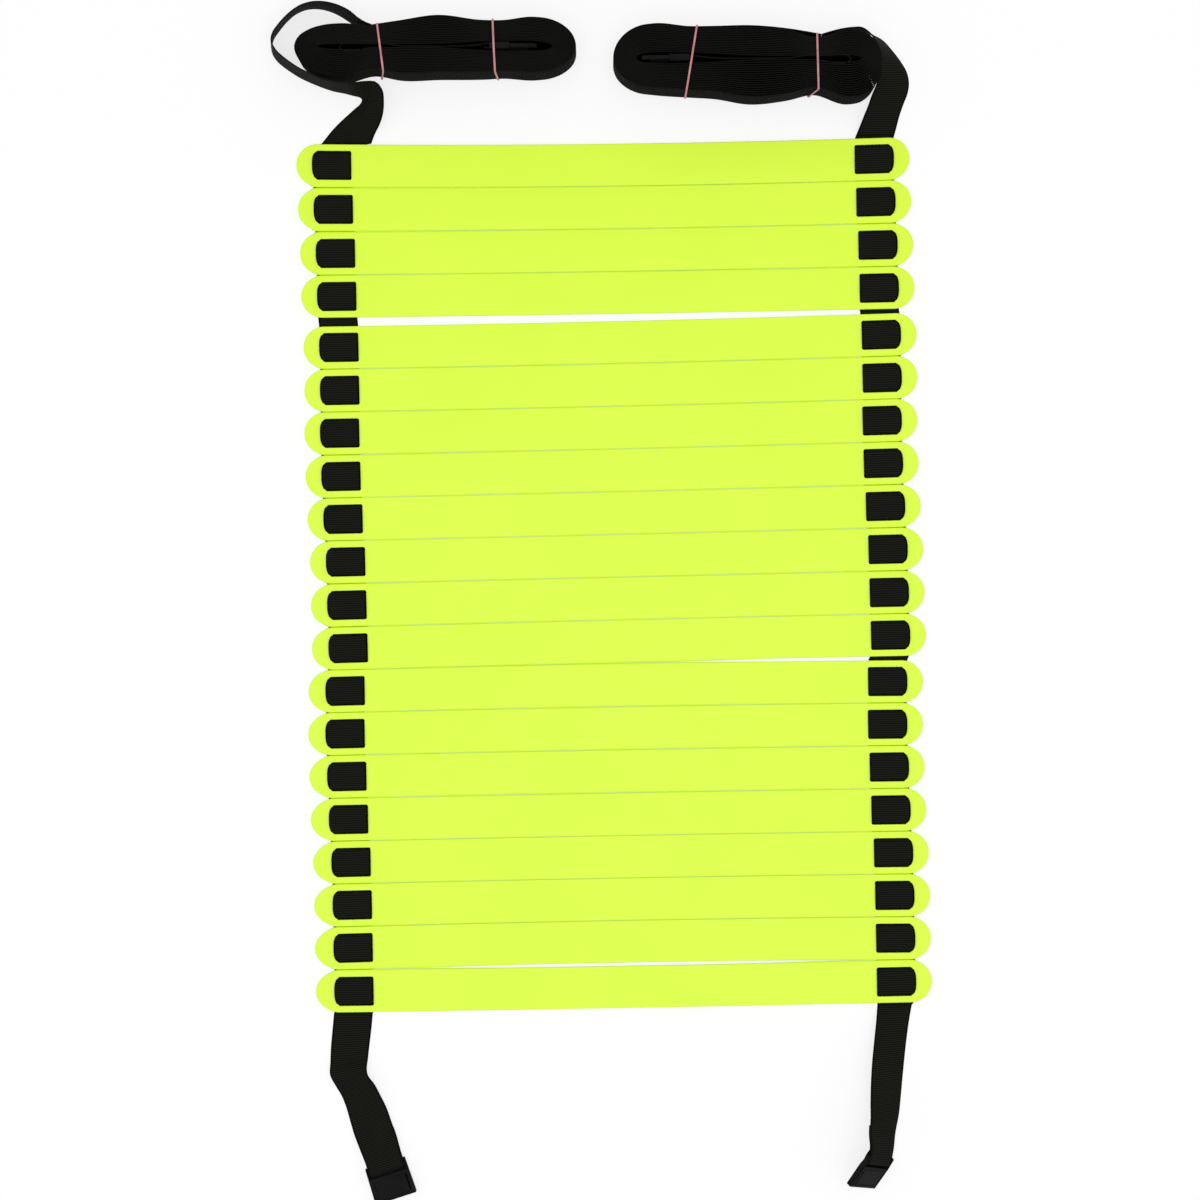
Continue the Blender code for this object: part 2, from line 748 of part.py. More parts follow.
# Tails and sockets
def tail_stations(rows):
    """Stations along a tail from its plan rows: low edge, high edge and rise, with upward normals."""
    stations = []
    for low, high, rise, bump in rows:
        base = half_webbing * flatness(rise) + bump
        low, high = low.copy(), high.copy()
        low.z, high.z = base, base + rise
        stations.append([low, high])
    made = with_normals(stations)
    if made[0][2].z < 0:
        made = [(a, b, -n) for a, b, n in made]
    return made


def ease(value):
    share = min(1.0, max(0.0, value))
    return share * share * (3 - 2 * share)


def make_tail(name, rows, droop, skin):
    """A tail: the strap, its loop round the socket's bar and the sewn turn-back beneath it."""
    stations = tail_stations(rows)
    low, high, normal = stations[-1]
    before = (stations[-2][0] + stations[-2][1]) / 2
    way = ((low + high) / 2 - before).normalized() * (socket_rail_length / 2 + seat_clearance)
    way.z = 0
    stations.insert(-1, (low - way, high - way, normal))
    lengths = [0.0]
    for one, two in zip(stations, stations[1:]):
        lengths.append(lengths[-1] + ((two[0] + two[1]) - (one[0] + one[1])).length / 2)
    total = lengths[-1]
    low, high, normal = stations[-1]
    across = (high - low).normalized()
    heading = (low + high) - (stations[-2][0] + stations[-2][1])
    heading.z = 0
    heading = (heading - across * heading.dot(across)).normalized()
    normal = across.cross(heading)
    if normal.z < 0:
        normal = -normal
    drop = math.radians(droop)
    socket_heading = heading * math.cos(drop) - normal * math.sin(drop)
    socket_normal = normal * math.cos(drop) + heading * math.sin(drop)
    middle_z = (low.z + high.z) / 2
    half_x, half_z = socket_width / 2, socket_thickness / 2
    reach = socket_rail_length / 2 + socket_plate_length
    need = half_x * abs(across.z) + half_z * abs(socket_normal.z) + max(0.0, -socket_heading.z) * reach
    lift = need - middle_z
    r = loop_radius_socket
    upper = []
    for i, (a, b, n) in enumerate(stations):
        raised = Vector((0, 0, lift * ease((lengths[i] - total + tail_lift_length) / tail_lift_length)))
        spread = layer_step / 2 * ease((lengths[i] - total + 1.5 * turn_back_length) / (turn_back_length / 3))
        spread += (r - layer_step / 2) * ease((lengths[i] - total + turn_back_length / 2) / (turn_back_length / 2))
        upper.append((a + raised, b + raised, n, spread))
    top = [(a + n * 2 * s if s <= layer_step / 2 else a + n * (s + layer_step / 2 * (1 - ease_at(s, r))),
            b + n * 2 * s if s <= layer_step / 2 else b + n * (s + layer_step / 2 * (1 - ease_at(s, r))), n)
           for a, b, n, s in upper]
    half = across * (webbing_width / 2)
    bar = (upper[-1][0] + upper[-1][1]) / 2
    top[-1] = (bar + normal * r - half, bar + normal * r + half, normal)
    loop = []
    for turn in (60, 30, 0, -30, -60, -90):
        out = heading * math.cos(math.radians(turn)) + normal * math.sin(math.radians(turn))
        centre = bar + out * r
        loop.append((centre - half, centre + half, out))
    under = []
    back_steps = 6
    for k in range(1, back_steps + 1):
        at = total - turn_back_length * k / back_steps
        i = int(np.searchsorted(lengths, at)) - 1
        part = (at - lengths[i]) / (lengths[i + 1] - lengths[i])
        a = upper[i][0].lerp(upper[i + 1][0], part)
        b = upper[i][1].lerp(upper[i + 1][1], part)
        n = upper[i][2].lerp(upper[i + 1][2], part).normalized()
        drop_off = r * (1 - ease(2 * k / back_steps))
        under.append((a - n * drop_off, b - n * drop_off, -n))
    bm = bmesh.new()
    strip(bm, top + loop + under, webbing_thickness)
    finish(name, bm, skin, math.radians(50))
    return bar, socket_heading, across, socket_normal


def ease_at(spread, r):
    """How far a spread has gone from one layer's step to the loop's radius."""
    return min(1.0, max(0.0, (spread - layer_step / 2) / (r - layer_step / 2)))


def make_socket(name, frame, skin):
    """The socket half of a buckle, in its own frame: X across, -Y towards the mouth, Z through its thickness."""
    bar, heading, across, normal = frame
    half_x = socket_width / 2
    half_z = socket_thickness / 2
    rear = -socket_rail_length / 2
    front = rear - socket_plate_length
    bar_reach = half_x - socket_rail_width
    outline = (
        (-half_x, front), (half_x, front), (half_x, -rear), (bar_reach, -rear), (bar_reach, rear),
        (-bar_reach, rear), (-bar_reach, -rear), (-half_x, -rear),
    )
    bm = solid_from_outline(outline, -half_z, half_z, "z")
    bevel_all(bm, socket_edge)
    turn = Matrix((
        (across.x, -heading.x, normal.x, bar.x),
        (across.y, -heading.y, normal.y, bar.y),
        (across.z, -heading.z, normal.z, bar.z),
        (0, 0, 0, 1),
    ))
    if turn.to_3x3().determinant() < 0:
        turn = turn @ Matrix.Diagonal((-1, 1, 1, 1))
    body = add_object(name, bm, skin)
    helpers = [add_object(f"{name}_bar_helper", rod(socket_bar_radius, 2 * bar_reach + socket_rail_width, "x"))]
    boolean(body, "bar", "UNION", helpers[0])
    inner_x = half_x - socket_side_wall
    inner_z = half_z - socket_wall
    slit_x = inner_x - socket_slit_width
    panel_x = (inner_x + slit_x) / 2
    panel_front = front + socket_front_rim
    panel_rear = rear - socket_rear_rim
    middle_y = (panel_front + panel_rear) / 2
    over = socket_wall
    cuts = [
        ((-inner_x - seat_clearance, front - over, -inner_z), (inner_x + seat_clearance, rear + over, inner_z)),
        ((-panel_x, panel_front, half_z - socket_panel_depth), (panel_x, panel_rear, half_z + over)),
    ]
    for side in (-1, 1):
        edges = sorted((side * slit_x, side * inner_x))
        half_slit = socket_slit_length / 2
        cuts.append(((edges[0], middle_y - half_slit, -half_z - over), (edges[1], middle_y + half_slit, half_z + over)))
    for n, (low, high) in enumerate(cuts):
        tool = bmesh.new()
        box(tool, low, high)
        helpers.append(add_object(f"{name}_cutter_{n + 1}", tool))
        boolean(body, f"cut_{n + 1}", "DIFFERENCE", helpers[-1])
    for obj in [body] + helpers:
        obj.matrix_world = turn


def main():
    clear_scene()
    rung_skin = material("rung_plastic", (0.73, 0.98, 0.01), 0.38)
    strap_skin = material("webbing_black", (0.012, 0.013, 0.011), 0.85)
    buckle_skin = material("buckle_black", (0.018, 0.018, 0.018), 0.30)
    band_skin = material("band_rubber", (0.78, 0.20, 0.22), 0.55)

    places = rung_places()
    rungs = [make_rung(i, place, rung_skin) for i, place in enumerate(places)]
    first, last = places[0], places[-1]
    crossings = {}
    for word, side in (("left", -1), ("right", 1)):
        crossings[word] = (
            Vector(rung_to_part(first, (side * strap_station, 0, 0))),
            Vector(rung_to_part(last, (side * strap_station, 0, 0))),
        )

    # Coils, with their plugs and bands
    pivots = []
    coils = {
        "left": {
            "middle": spot(left_coil_place_shares), "mirror": 1, "turns": left_coil_turns,
            "pinch": left_coil_pinch, "lobe": left_coil_lobe, "up": left_coil_up, "down": left_coil_down,
            "core": left_coil_core, "far_end": left_coil_far_end, "near_end": left_coil_near_end,
            "rear": plug_rear_in_left_coil, "end": tuple(spot(left_coil_end_shares))[:2],
        },
        "right": {
            "middle": spot(right_coil_place_shares), "mirror": -1, "turns": right_coil_turns,
            "pinch": right_coil_pinch, "lobe": right_coil_lobe, "up": right_coil_up, "down": right_coil_down,
            "core": right_coil_core, "far_end": right_coil_far_end, "near_end": right_coil_near_end,
            "rear": plug_rear_in_right_coil, "end": tuple(spot(right_coil_end_shares))[:2],
        },
    }
    for word, coil in coils.items():
        make_coil(f"{word}_coil", coil, strap_skin)
        pivots += make_plug(f"{word}_plug", coil, buckle_skin)
    over_plug = plug_width - webbing_width
    over_loop = plug_side_wall + seat_clearance
    make_band("left_band_1", coils["left"], left_band_1_shares, left_coil_lobe, 0.0, band_skin)
    make_band("left_band_2", coils["left"], left_band_2_shares, plug_rear_in_left_coil, over_plug, band_skin)
    make_band("right_band_1", coils["right"], right_band_1_shares, plug_rear_in_right_coil, over_loop, band_skin)
    make_band("right_band_2", coils["right"], right_band_2_shares, right_coil_lobe, 0.0, band_skin)

    # Leads from the coils, tails with their sockets, and the straps through the rungs
    moved = {
        "left": (
            crossings["left"][0] - spot(left_first_crossing_shares),
            crossings["left"][1] - spot(left_last_crossing_shares),
        ),
        "right": (
            crossings["right"][0] - spot(right_first_crossing_shares),
            crossings["right"][1] - spot(right_last_crossing_shares),
        ),
    }
    leads = {
        "left": (left_lead_upright_shares, left_lead_tipping_shares),
        "right": (right_lead_upright_shares, right_lead_tipping_shares),
    }
    lead_ends = {}
    for word, (upright, tipping) in leads.items():
        foot = coils[word]["middle"].y - max(coils[word]["down"])
        lead_ends[word] = make_lead(f"{word}_strap_lead", upright, tipping, foot, moved[word][0], strap_skin)
    middle_line = [spot(row) + moved["left"][1] for row in left_tail_shares]
    left_rows = []
    for i, p in enumerate(middle_line):
        along = middle_line[min(i + 1, len(middle_line) - 1)] - middle_line[max(i - 1, 0)]
        across = Vector((along.y, -along.x, 0)).normalized()
        if i == 0:
            across = -Vector((math.cos(places[-1][1]), math.sin(places[-1][1]), 0))
        half = across * (webbing_width / 2)
        bump = {3: tail_crease_height, 4: tail_crease_height / 3}.get(i, 0.0)
        left_rows.append((p + half, p - half, 0.0, bump))
    with_strap = moved["right"][1]
    right_rows = [
        (spot(row[:2]) + with_strap, spot(row[2:4]) + with_strap, row[4] * rung_width, 0.0)
        for row in right_tail_shares
    ]
    sockets = {}
    for word, rows, droop in (("left", left_rows, 0.0), ("right", right_rows, right_socket_droop)):
        sockets[word] = make_tail(f"{word}_strap_tail", rows, droop, strap_skin)
        make_socket(f"{word}_socket", sockets[word], buckle_skin)
    gap = Vector((0, 1.5 * seat_clearance, 0))
    for word, side, rows in (("left", -1, left_rows), ("right", 1, right_rows)):
        upper = sorted(lead_ends[word], key=lambda p: p.x)
        lower = sorted(rows[0][:2], key=lambda p: p.x)
        level = Vector((0, 0, half_webbing))
        upper = [Vector((p.x, p.y, 0)) - gap + level for p in upper]
        lower = [Vector((p.x, p.y, 0)) + gap + level for p in lower]
        make_woven_strap(f"{word}_strap_woven", side, places, strap_skin, (upper, lower))

    # The part's origin is under the middle of its box
    bpy.context.view_layer.update()
    graph = bpy.context.evaluated_depsgraph_get()
    corners = []
    for obj in bpy.context.scene.objects:
        if obj.hide_render:
            continue
        evaluated = obj.evaluated_get(graph)
        mesh = evaluated.to_mesh()
        points = np.empty(len(mesh.vertices) * 3)
        mesh.vertices.foreach_get("co", points)
        evaluated.to_mesh_clear()
        world = np.array(obj.matrix_world)
        corners.append(points.reshape(-1, 3) @ world[:3, :3].T + world[:3, 3])
    every = np.concatenate(corners)
    low, high = every.min(0), every.max(0)
    shift = Vector((-(low[0] + high[0]) / 2, -(low[1] + high[1]) / 2, -low[2]))
    for obj in bpy.context.scene.objects:
        obj.matrix_world = Matrix.Translation(shift) @ obj.matrix_world
    print("size", [round(float(v), 5) for v in high - low])
    for word, (bar, heading, across, normal) in sockets.items():
        for what, vector in (("bar", bar + shift), ("across", across), ("heading", heading), ("normal", normal)):
            print(f"{word} socket {what}", [round(v, 6) for v in vector])
    for word, pivot in pivots:
        print(word, "pivot", [round(v, 6) for v in pivot + shift])
    print("shift", [round(v, 6) for v in shift])


main()
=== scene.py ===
import math

import bmesh
import bpy
import numpy as np
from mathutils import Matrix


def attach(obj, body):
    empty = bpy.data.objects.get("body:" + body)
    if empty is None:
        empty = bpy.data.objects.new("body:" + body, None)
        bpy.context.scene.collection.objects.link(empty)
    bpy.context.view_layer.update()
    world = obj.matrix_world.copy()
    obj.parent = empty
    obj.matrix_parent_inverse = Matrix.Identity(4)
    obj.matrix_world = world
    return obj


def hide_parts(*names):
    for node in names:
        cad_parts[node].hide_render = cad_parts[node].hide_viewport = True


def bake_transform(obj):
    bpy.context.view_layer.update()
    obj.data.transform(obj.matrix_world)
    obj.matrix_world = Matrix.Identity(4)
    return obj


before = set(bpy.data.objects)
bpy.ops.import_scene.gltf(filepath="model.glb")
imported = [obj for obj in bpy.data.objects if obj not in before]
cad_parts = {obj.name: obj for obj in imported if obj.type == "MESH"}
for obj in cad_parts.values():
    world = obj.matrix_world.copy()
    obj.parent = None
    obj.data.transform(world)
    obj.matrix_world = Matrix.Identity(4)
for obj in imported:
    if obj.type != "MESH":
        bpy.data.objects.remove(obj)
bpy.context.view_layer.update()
print("frame loaded")

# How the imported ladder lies: shares are of a rung's width, from the middle of the layout
layout = {
    "shift": (-0.001943, 0.005501, 0.000015),
    "count": 20,
    "firstLeft": 10.33,
    "firstRight": 10.48,
    "gap": 0.0003,
    "gapLeft": (0.038, 0.038, 0.014, 0.202, 0.014, 0.007, 0.019, 0.007, 0.007, 0.019,
                0.017, 0.007, 0.007, 0.007, 0.012, 0.010, 0.007, 0.010, 0.021),
    "gapRight": (0.007, 0.017, 0.014, 0.102, 0.014, 0.007, 0.007, 0.012, 0.014, 0.017,
                 0.007, 0.093, 0.007, 0.007, 0.012, 0.007, 0.007, 0.007, 0.026),
    "aside": (0.07, 0.11, 0.16, 0.19, 0.24, 0.26, 0.26, 0.29, 0.34, 0.40,
              0.43, 0.46, 0.39, 0.39, 0.43, 0.47, 0.53, 0.56, 0.58, 0.60),
    "bow": (0.062, 0.045, 0.024, 0.015, 0.029, 0.020, 0.019, 0.012, 0.008, 0.004,
            -0.008, -0.014, -0.029, -0.021, -0.014, -0.010, -0.018, -0.025, -0.033, 0.014),
}

rung = {
    "length": 0.500,
    "width": 0.0343,
    "thickness": 0.0025,
    "bottom": 0.0012,  # of its underside, over the floor
    "strapAt": 0.221,
    "edgeRound": 0.0008,
    "bridge": 0.0177,
    "slot": 0.0030,
    "slotInner": 0.0163,  # the slots' ends, from the middle of the strap
    "slotOuter": 0.0150,
    "innerCorner": 0.0019,
    "outerCorner": 0.0031,
    "outerCut": 0.0029,
    "slotRound": 0.0004,
    "marginDip": 0.0002,
    "footFlare": 0.0009,
    "flareDown": (0, 0.05, 0.3, 0.7, 1.0, 1.0, 1.0, 0.9),  # its share at each level of the edge, from the top
    "flareClear": 0.00008,
    "openFrom": 0.0016,  # gaps from here on are too wide to be closed by the flare
    "openOver": 0.0010,
    "endReach": 0.0034,  # reached by the last rung's left end; the first ones have none
    "reachAfter": 7,
    "reachOver": 11,
    "underMargin": 0.0018,  # how far in beneath a margin the flat lengths of strap begin
}

webbing = {
    "width": 0.0320,
    "thickness": 0.0009,
    "clear": 0.0003,
    "step": 0.0025,
    "fineStep": 0.0008,
    "betweenThickness": 0.00084,
    "endThickness": 0.00086,
    "drawInner": 0.0002,
    "drawOuter": 0.0037,
    "drawBack": 0.0035,
    "patternStep": 0.037,  # the weave goes on from rung to rung
}

shift = np.array(layout["shift"])
rungTop = rung["bottom"] + rung["thickness"]
halfWeb = webbing["thickness"] / 2
sideOf = {"left": -1, "right": 1}


def ease(value):
    share = np.clip(value, 0.0, 1.0)
    return share * share * (3 - 2 * share)


def unit(rows):
    return rows / np.linalg.norm(rows, axis=-1, keepdims=True)


# Meshes from whole arrays

def newObject(name, data):
    made = bpy.data.objects.new(name, data)
    bpy.context.scene.collection.objects.link(made)
    return made


def meshObject(name, points, faces, corners=None):
    # faces is an array of quads; a quad whose last two corners are the same is a triangle.
    # The signed volume, the sum of p0 . (p1 x p2) / 6 over its triangles, decides which way the faces turn.
    a, b, c, d = (points[faces[:, k]] for k in range(4))
    volume = np.einsum("ij,ij->i", a, np.cross(b, c)).sum() + np.einsum("ij,ij->i", a, np.cross(c, d)).sum()
    if volume < 0:
        faces = faces[:, ::-1]
        corners = None if corners is None else corners[:, ::-1]
    mesh = bpy.data.meshes.new(name)
    mesh.vertices.add(len(points))
    mesh.vertices.foreach_set("co", points.astype(np.float32).ravel())
    mesh.loops.add(faces.size)
    mesh.loops.foreach_set("vertex_index", faces.astype(np.int32).ravel())
    mesh.polygons.add(len(faces))
    mesh.polygons.foreach_set("loop_start", np.arange(0, faces.size, 4, dtype=np.int32))
    mesh.polygons.foreach_set("loop_total", np.full(len(faces), 4, np.int32))
    mesh.update(calc_edges=True)
    mesh.validate()
    if corners is not None:
        layer = mesh.uv_layers.new(name="UVMap")
        layer.data.foreach_set("uv", corners.astype(np.float32).ravel())
    mesh.shade_smooth()
    return newObject(name, mesh)


def carried(rings, around, along, closed=False):
    # A closed profile carried along a path: rings[i, j] is profile point j at station i.
    # Quads join neighbours both ways; at open ends quads join point j to the point facing it.
    count, size = rings.shape[:2]
    runs = count if closed else count - 1
    i, j = np.meshgrid(np.arange(runs), np.arange(size), indexing="ij")
    iNext, jNext = (i + 1) % count, (j + 1) % size
    faces = np.stack([i * size + j, i * size + jNext, iNext * size + jNext, iNext * size + j], axis=-1).reshape(-1, 4)
    u0, u1, v0, v1 = around[j], around[j + 1], along[i], along[i + 1]
    spots = ((u0, v0), (u1, v0), (u1, v1), (u0, v1))
    corners = np.stack([np.stack(spot, -1) for spot in spots], axis=2).reshape(-1, 4, 2)
    if not closed:
        k = np.arange(size // 2 - 1)
        cap = np.stack([k, size - 1 - k, size - 2 - k, k + 1], axis=-1)
        capCorners = np.zeros((len(cap), 4, 2))
        capCorners[:, :, 0] = around[cap]
        faces = np.concatenate([faces, cap, cap[:, ::-1] + (count - 1) * size])
        corners = np.concatenate([corners, capCorners, capCorners[:, ::-1] + (0, along[-1])])
    return rings.reshape(-1, 3), faces, corners


def smoothRun(points, step):
    # A cubic through every row; its slope at a row is that of the parabola through it and its two neighbours.
    # The first three columns are places, and set the distances.
    chords = np.diff(points, axis=0)
    reach = np.linalg.norm(chords[:, :3], axis=1)
    at = np.concatenate([[0.0], np.cumsum(reach)])
    rate = chords / reach[:, None]
    before, after = reach[:-1, None], reach[1:, None]
    slope = np.concatenate([rate[:1], (after * rate[:-1] + before * rate[1:]) / (before + after), rate[-1:]])
    where = np.linspace(0.0, at[-1], int(round(at[-1] / step)) + 2)
    k = np.clip(np.searchsorted(at, where, side="right") - 1, 0, len(reach) - 1)
    t = ((where - at[k]) / reach[k])[:, None]
    h = reach[k][:, None]
    return (
        (2 * t**3 - 3 * t**2 + 1) * points[k] + (t**3 - 2 * t**2 + t) * h * slope[k]
        + (3 * t**2 - 2 * t**3) * points[k + 1] + (t**3 - t**2) * h * slope[k + 1]
    ), where


def flatProfile(width, thickness, rounding=0.0004, columns=9):
    # Across a woven strap: flat faces and round edges, anticlockwise, the top half first.
    flat = np.linspace(-1, 1, columns) * (width / 2 - rounding)
    turn = np.radians([60, 25])
    endU = width / 2 - rounding + rounding * np.cos(turn)
    endV = thickness / 2 * np.sin(turn)
    u = np.concatenate([-endU[::-1], flat, endU])
    v = np.concatenate([endV[::-1], np.full(columns, thickness / 2), endV])
    return np.concatenate([u, u[::-1]]), np.concatenate([v, -v[::-1]])


def webRun(middles, acrosses, step=None, start=0.0, thickness=None):
    # Webbing along a path: place = middle + across * u + normal * v, with normal = way x across; across reaches
    # from edge to edge, so a slanted cut is longer than the webbing is wide.
    width = webbing["width"]
    rows, along = smoothRun(np.hstack([middles, acrosses]), step or webbing["step"])
    middle, across = rows[:, :3], rows[:, 3:]
    across = across / width
    normal = unit(np.cross(np.gradient(middle, axis=0), across))
    u, v = flatProfile(width, thickness or webbing["thickness"])
    rings = middle[:, None] + across[:, None] * u[None, :, None] + normal[:, None] * v[None, :, None]
    around = np.concatenate([u, u[:1]]) + width / 2
    return carried(rings, around, along + start)


def flatLength(starts, ends, thickness, start=0.0):
    # Webbing that lies flat: each of its two edges goes straight from its start to its end.
    edges = [a + (b - a) * np.linspace(0, 1, 5)[:, None] for a, b in zip(starts, ends)]
    return webRun((edges[0] + edges[1]) / 2, edges[1] - edges[0], webbing["fineStep"], start, thickness)


def joined(parts):
    # Several runs in one mesh: a run's faces count on from the points before it.
    points, faces, corners = zip(*parts)
    firsts = np.cumsum([0] + [len(run) for run in points[:-1]])
    return np.concatenate(points), np.concatenate([run + first for run, first in zip(faces, firsts)]), np.concatenate(corners)


# Shader groups

def newGroup(name, values, outputs):
    # It takes a vector and named values, and puts out named values.
    group = bpy.data.node_groups.new(name, "ShaderNodeTree")
    group.interface.new_socket(name="Vector", in_out="INPUT", socket_type="NodeSocketVector")
    for label, value in values.items():
        group.interface.new_socket(name=label, in_out="INPUT", socket_type="NodeSocketFloat").default_value = value
    for label in outputs:
        group.interface.new_socket(name=label, in_out="OUTPUT", socket_type="NodeSocketFloat")
    return group, group.nodes.new("NodeGroupInput"), group.nodes.new("NodeGroupOutput")


def feed(tree, value, entry):
    if isinstance(value, (int, float)):
        entry.default_value = value
    else:
        tree.links.new(value, entry)


def calculator(tree):
    # calc(operation, a, b) adds a Math node to the tree and hands back what it puts out.
    def calc(operation, *values, clamp=False):
        node = tree.nodes.new("ShaderNodeMath")
        node.operation = operation
        node.use_clamp = clamp
        for entry, value in zip(node.inputs, values):
            feed(tree, value, entry)
        return node.outputs[0]

    return calc


def noiseNode(tree, vector, scale, detail=2.0):
    node = tree.nodes.new("ShaderNodeTexNoise")
    node.inputs["Detail"].default_value = detail
    node.inputs["Roughness"].default_value = 0.55
    feed(tree, scale, node.inputs["Scale"])
    tree.links.new(vector, node.inputs["Vector"])
    return node.outputs["Fac"]


def grainGroup():
    # Fine and broad unevenness of moulded plastic: height and a slow mask.
    group, given, out = newGroup("mouldedGrain", {"Fine scale": 900.0, "Broad scale": 14.0}, ("Height", "Mask"))
    vector = given.outputs["Vector"]
    group.links.new(noiseNode(group, vector, given.outputs["Fine scale"]), out.inputs["Height"])
    group.links.new(noiseNode(group, vector, given.outputs["Broad scale"], 3.0), out.inputs["Mask"])
    return group


weaveForm = {
    "ribPitch": 0.0018,
    "cordPitch": 0.0013,
    "cordShare": 0.25,
    "bodyHeight": 0.8,
    "plainHeight": 0.35,
    "plainFrom": 0.455,  # shares of the width, from the middle
    "paleFrom": 0.484,
    "fuzzScale": 2600.0,
    "fuzzHeight": 0.35,
    "slowScale": 60.0,
}


def weaveGroup():
    # Webbing: ribs across it, each broken into short floats that step from rib to rib, and a plain selvedge.
    values = {"Rib pitch": weaveForm["ribPitch"], "Cord pitch": weaveForm["cordPitch"], "Width": webbing["width"]}
    group, given, out = newGroup("webbingWeave", values, ("Height", "Groove", "Fuzz", "Selvedge"))
    calc, vector = calculator(group), given.outputs["Vector"]
    parts = group.nodes.new("ShaderNodeSeparateXYZ")
    group.links.new(vector, parts.inputs[0])
    across, along = parts.outputs[0], parts.outputs[1]

    def wave(phase):
        return calc("ABSOLUTE", calc("SINE", calc("MULTIPLY", phase, math.pi)))

    ribPhase = calc("DIVIDE", along, given.outputs["Rib pitch"])
    cordPhase = calc("DIVIDE", across, given.outputs["Cord pitch"])
    stagger = calc("MULTIPLY", calc("FLOOR", ribPhase), 0.5)
    rib, cord = wave(ribPhase), wave(calc("ADD", cordPhase, stagger))
    edge = calc("ABSOLUTE", calc("SUBTRACT", calc("DIVIDE", across, given.outputs["Width"]), 0.5))
    body = calc("ADD", rib, calc("MULTIPLY", cord, weaveForm["cordShare"]))
    height = group.nodes.new("ShaderNodeMix")
    group.links.new(calc("GREATER_THAN", edge, weaveForm["plainFrom"]), height.inputs["Factor"])
    group.links.new(calc("MULTIPLY", body, weaveForm["bodyHeight"]), height.inputs["A"])
    group.links.new(calc("MULTIPLY", rib, weaveForm["plainHeight"]), height.inputs["B"])
    fuzz = calc("MULTIPLY", noiseNode(group, vector, weaveForm["fuzzScale"]), weaveForm["fuzzHeight"])
    group.links.new(calc("ADD", height.outputs["Result"], fuzz), out.inputs["Height"])
    # Groove, the weave's height without fuzz, also sets the painted shade in the grooves
    group.links.new(height.outputs["Result"], out.inputs["Groove"])
    group.links.new(noiseNode(group, vector, weaveForm["slowScale"]), out.inputs["Fuzz"])
    group.links.new(calc("GREATER_THAN", edge, weaveForm["paleFrom"]), out.inputs["Selvedge"])
    return group


grain = grainGroup()
weave = weaveGroup()


def newMaterial(name, constants):
    made = bpy.data.materials.new(name)
    made.use_nodes = True
    shader = made.node_tree.nodes["Principled BSDF"]
    for label, value in constants.items():
        shader.inputs[label].default_value = value
    return made, made.node_tree, shader


def ramp(tree, factor, *stops):
    node = tree.nodes.new("ShaderNodeValToRGB")
    tree.links.new(factor, node.inputs[0])
    for element, (position, colour) in zip(node.color_ramp.elements, stops):
        element.position, element.color = position, (*colour, 1)
    return node.outputs["Color"]


def spanNode(tree, value, low, high):
    node = tree.nodes.new("ShaderNodeMapRange")
    tree.links.new(value, node.inputs["Value"])
    node.inputs["To Min"].default_value = low
    node.inputs["To Max"].default_value = high
    return node.outputs["Result"]


def placed(tree, group, kind, **values):
    # A group on Object or UV coordinates
    node = tree.nodes.new("ShaderNodeGroup")
    node.node_tree = group
    tree.links.new(tree.nodes.new("ShaderNodeTexCoord").outputs[kind], node.inputs["Vector"])
    for label, value in values.items():
        node.inputs[label.replace("_", " ")].default_value = value
    return node.outputs


def surfaced(tree, shader, colour, mask, height, look):
    tree.links.new(colour, shader.inputs["Base Color"])
    tree.links.new(spanNode(tree, mask, *look["rough"]), shader.inputs["Roughness"])
    node = tree.nodes.new("ShaderNodeBump")
    for label, value in zip(("Distance", "Strength"), look["bump"]):
        node.inputs[label].default_value = value
    tree.links.new(height, node.inputs["Height"])
    tree.links.new(node.outputs["Normal"], shader.inputs["Normal"])


# Moulded finishes, from dark to light and from smooth to rough along the grain's mask; bump is distance and strength
moulded = {
    "limePlastic": {
        "constants": {"IOR": 1.46}, "fine": 700.0, "broad": 9.0, "dark": (0.676, 0.950, 0.024),
        "light": (0.706, 0.966, 0.034), "rough": (0.30, 0.42), "bump": (0.00006, 0.35),
    },
    "blackPlastic": {
        "constants": {"IOR": 1.5, "Specular IOR Level": 0.02}, "fine": 1500.0, "broad": 60.0,
        "dark": (0.0068, 0.0071, 0.0072), "light": (0.0100, 0.0104, 0.0106), "rough": (0.24, 0.40), "bump": (0.00004, 0.4),
    },
    "pinkRubber": {
        "constants": {"IOR": 1.5}, "fine": 1800.0, "broad": 120.0, "dark": (0.45, 0.165, 0.168),
        "light": (0.60, 0.270, 0.268), "rough": (0.45, 0.62), "bump": (0.00005, 0.5),
    },
}
# Webbing: brightness of the ribs and of the selvedge, and its shine. Wound on edge, its faces lie in shade: that copy
# has painted shade on its faces and painted light on its selvedge edges.
woven = {
    "blackWebbing": {"face": 0.0132, "edge": 0.010, "shine": 0.03, "rough": (0.62, 0.85), "bump": (0.00025, 0.8)},
    "shadedWoundWebbing": {"face": 0.0060, "edge": 0.0094, "shine": 0.014, "rough": (0.62, 0.85), "bump": (0.00025, 0.8)},
}


def mouldedSkin(name):
    look = moulded[name]
    made, tree, shader = newMaterial(name, look["constants"])
    where = placed(tree, grain, "Object", Fine_scale=look["fine"], Broad_scale=look["broad"])
    colour = ramp(tree, where["Mask"], (0.30, look["dark"]), (0.70, look["light"]))
    surfaced(tree, shader, colour, where["Mask"], where["Height"], look)
    return made


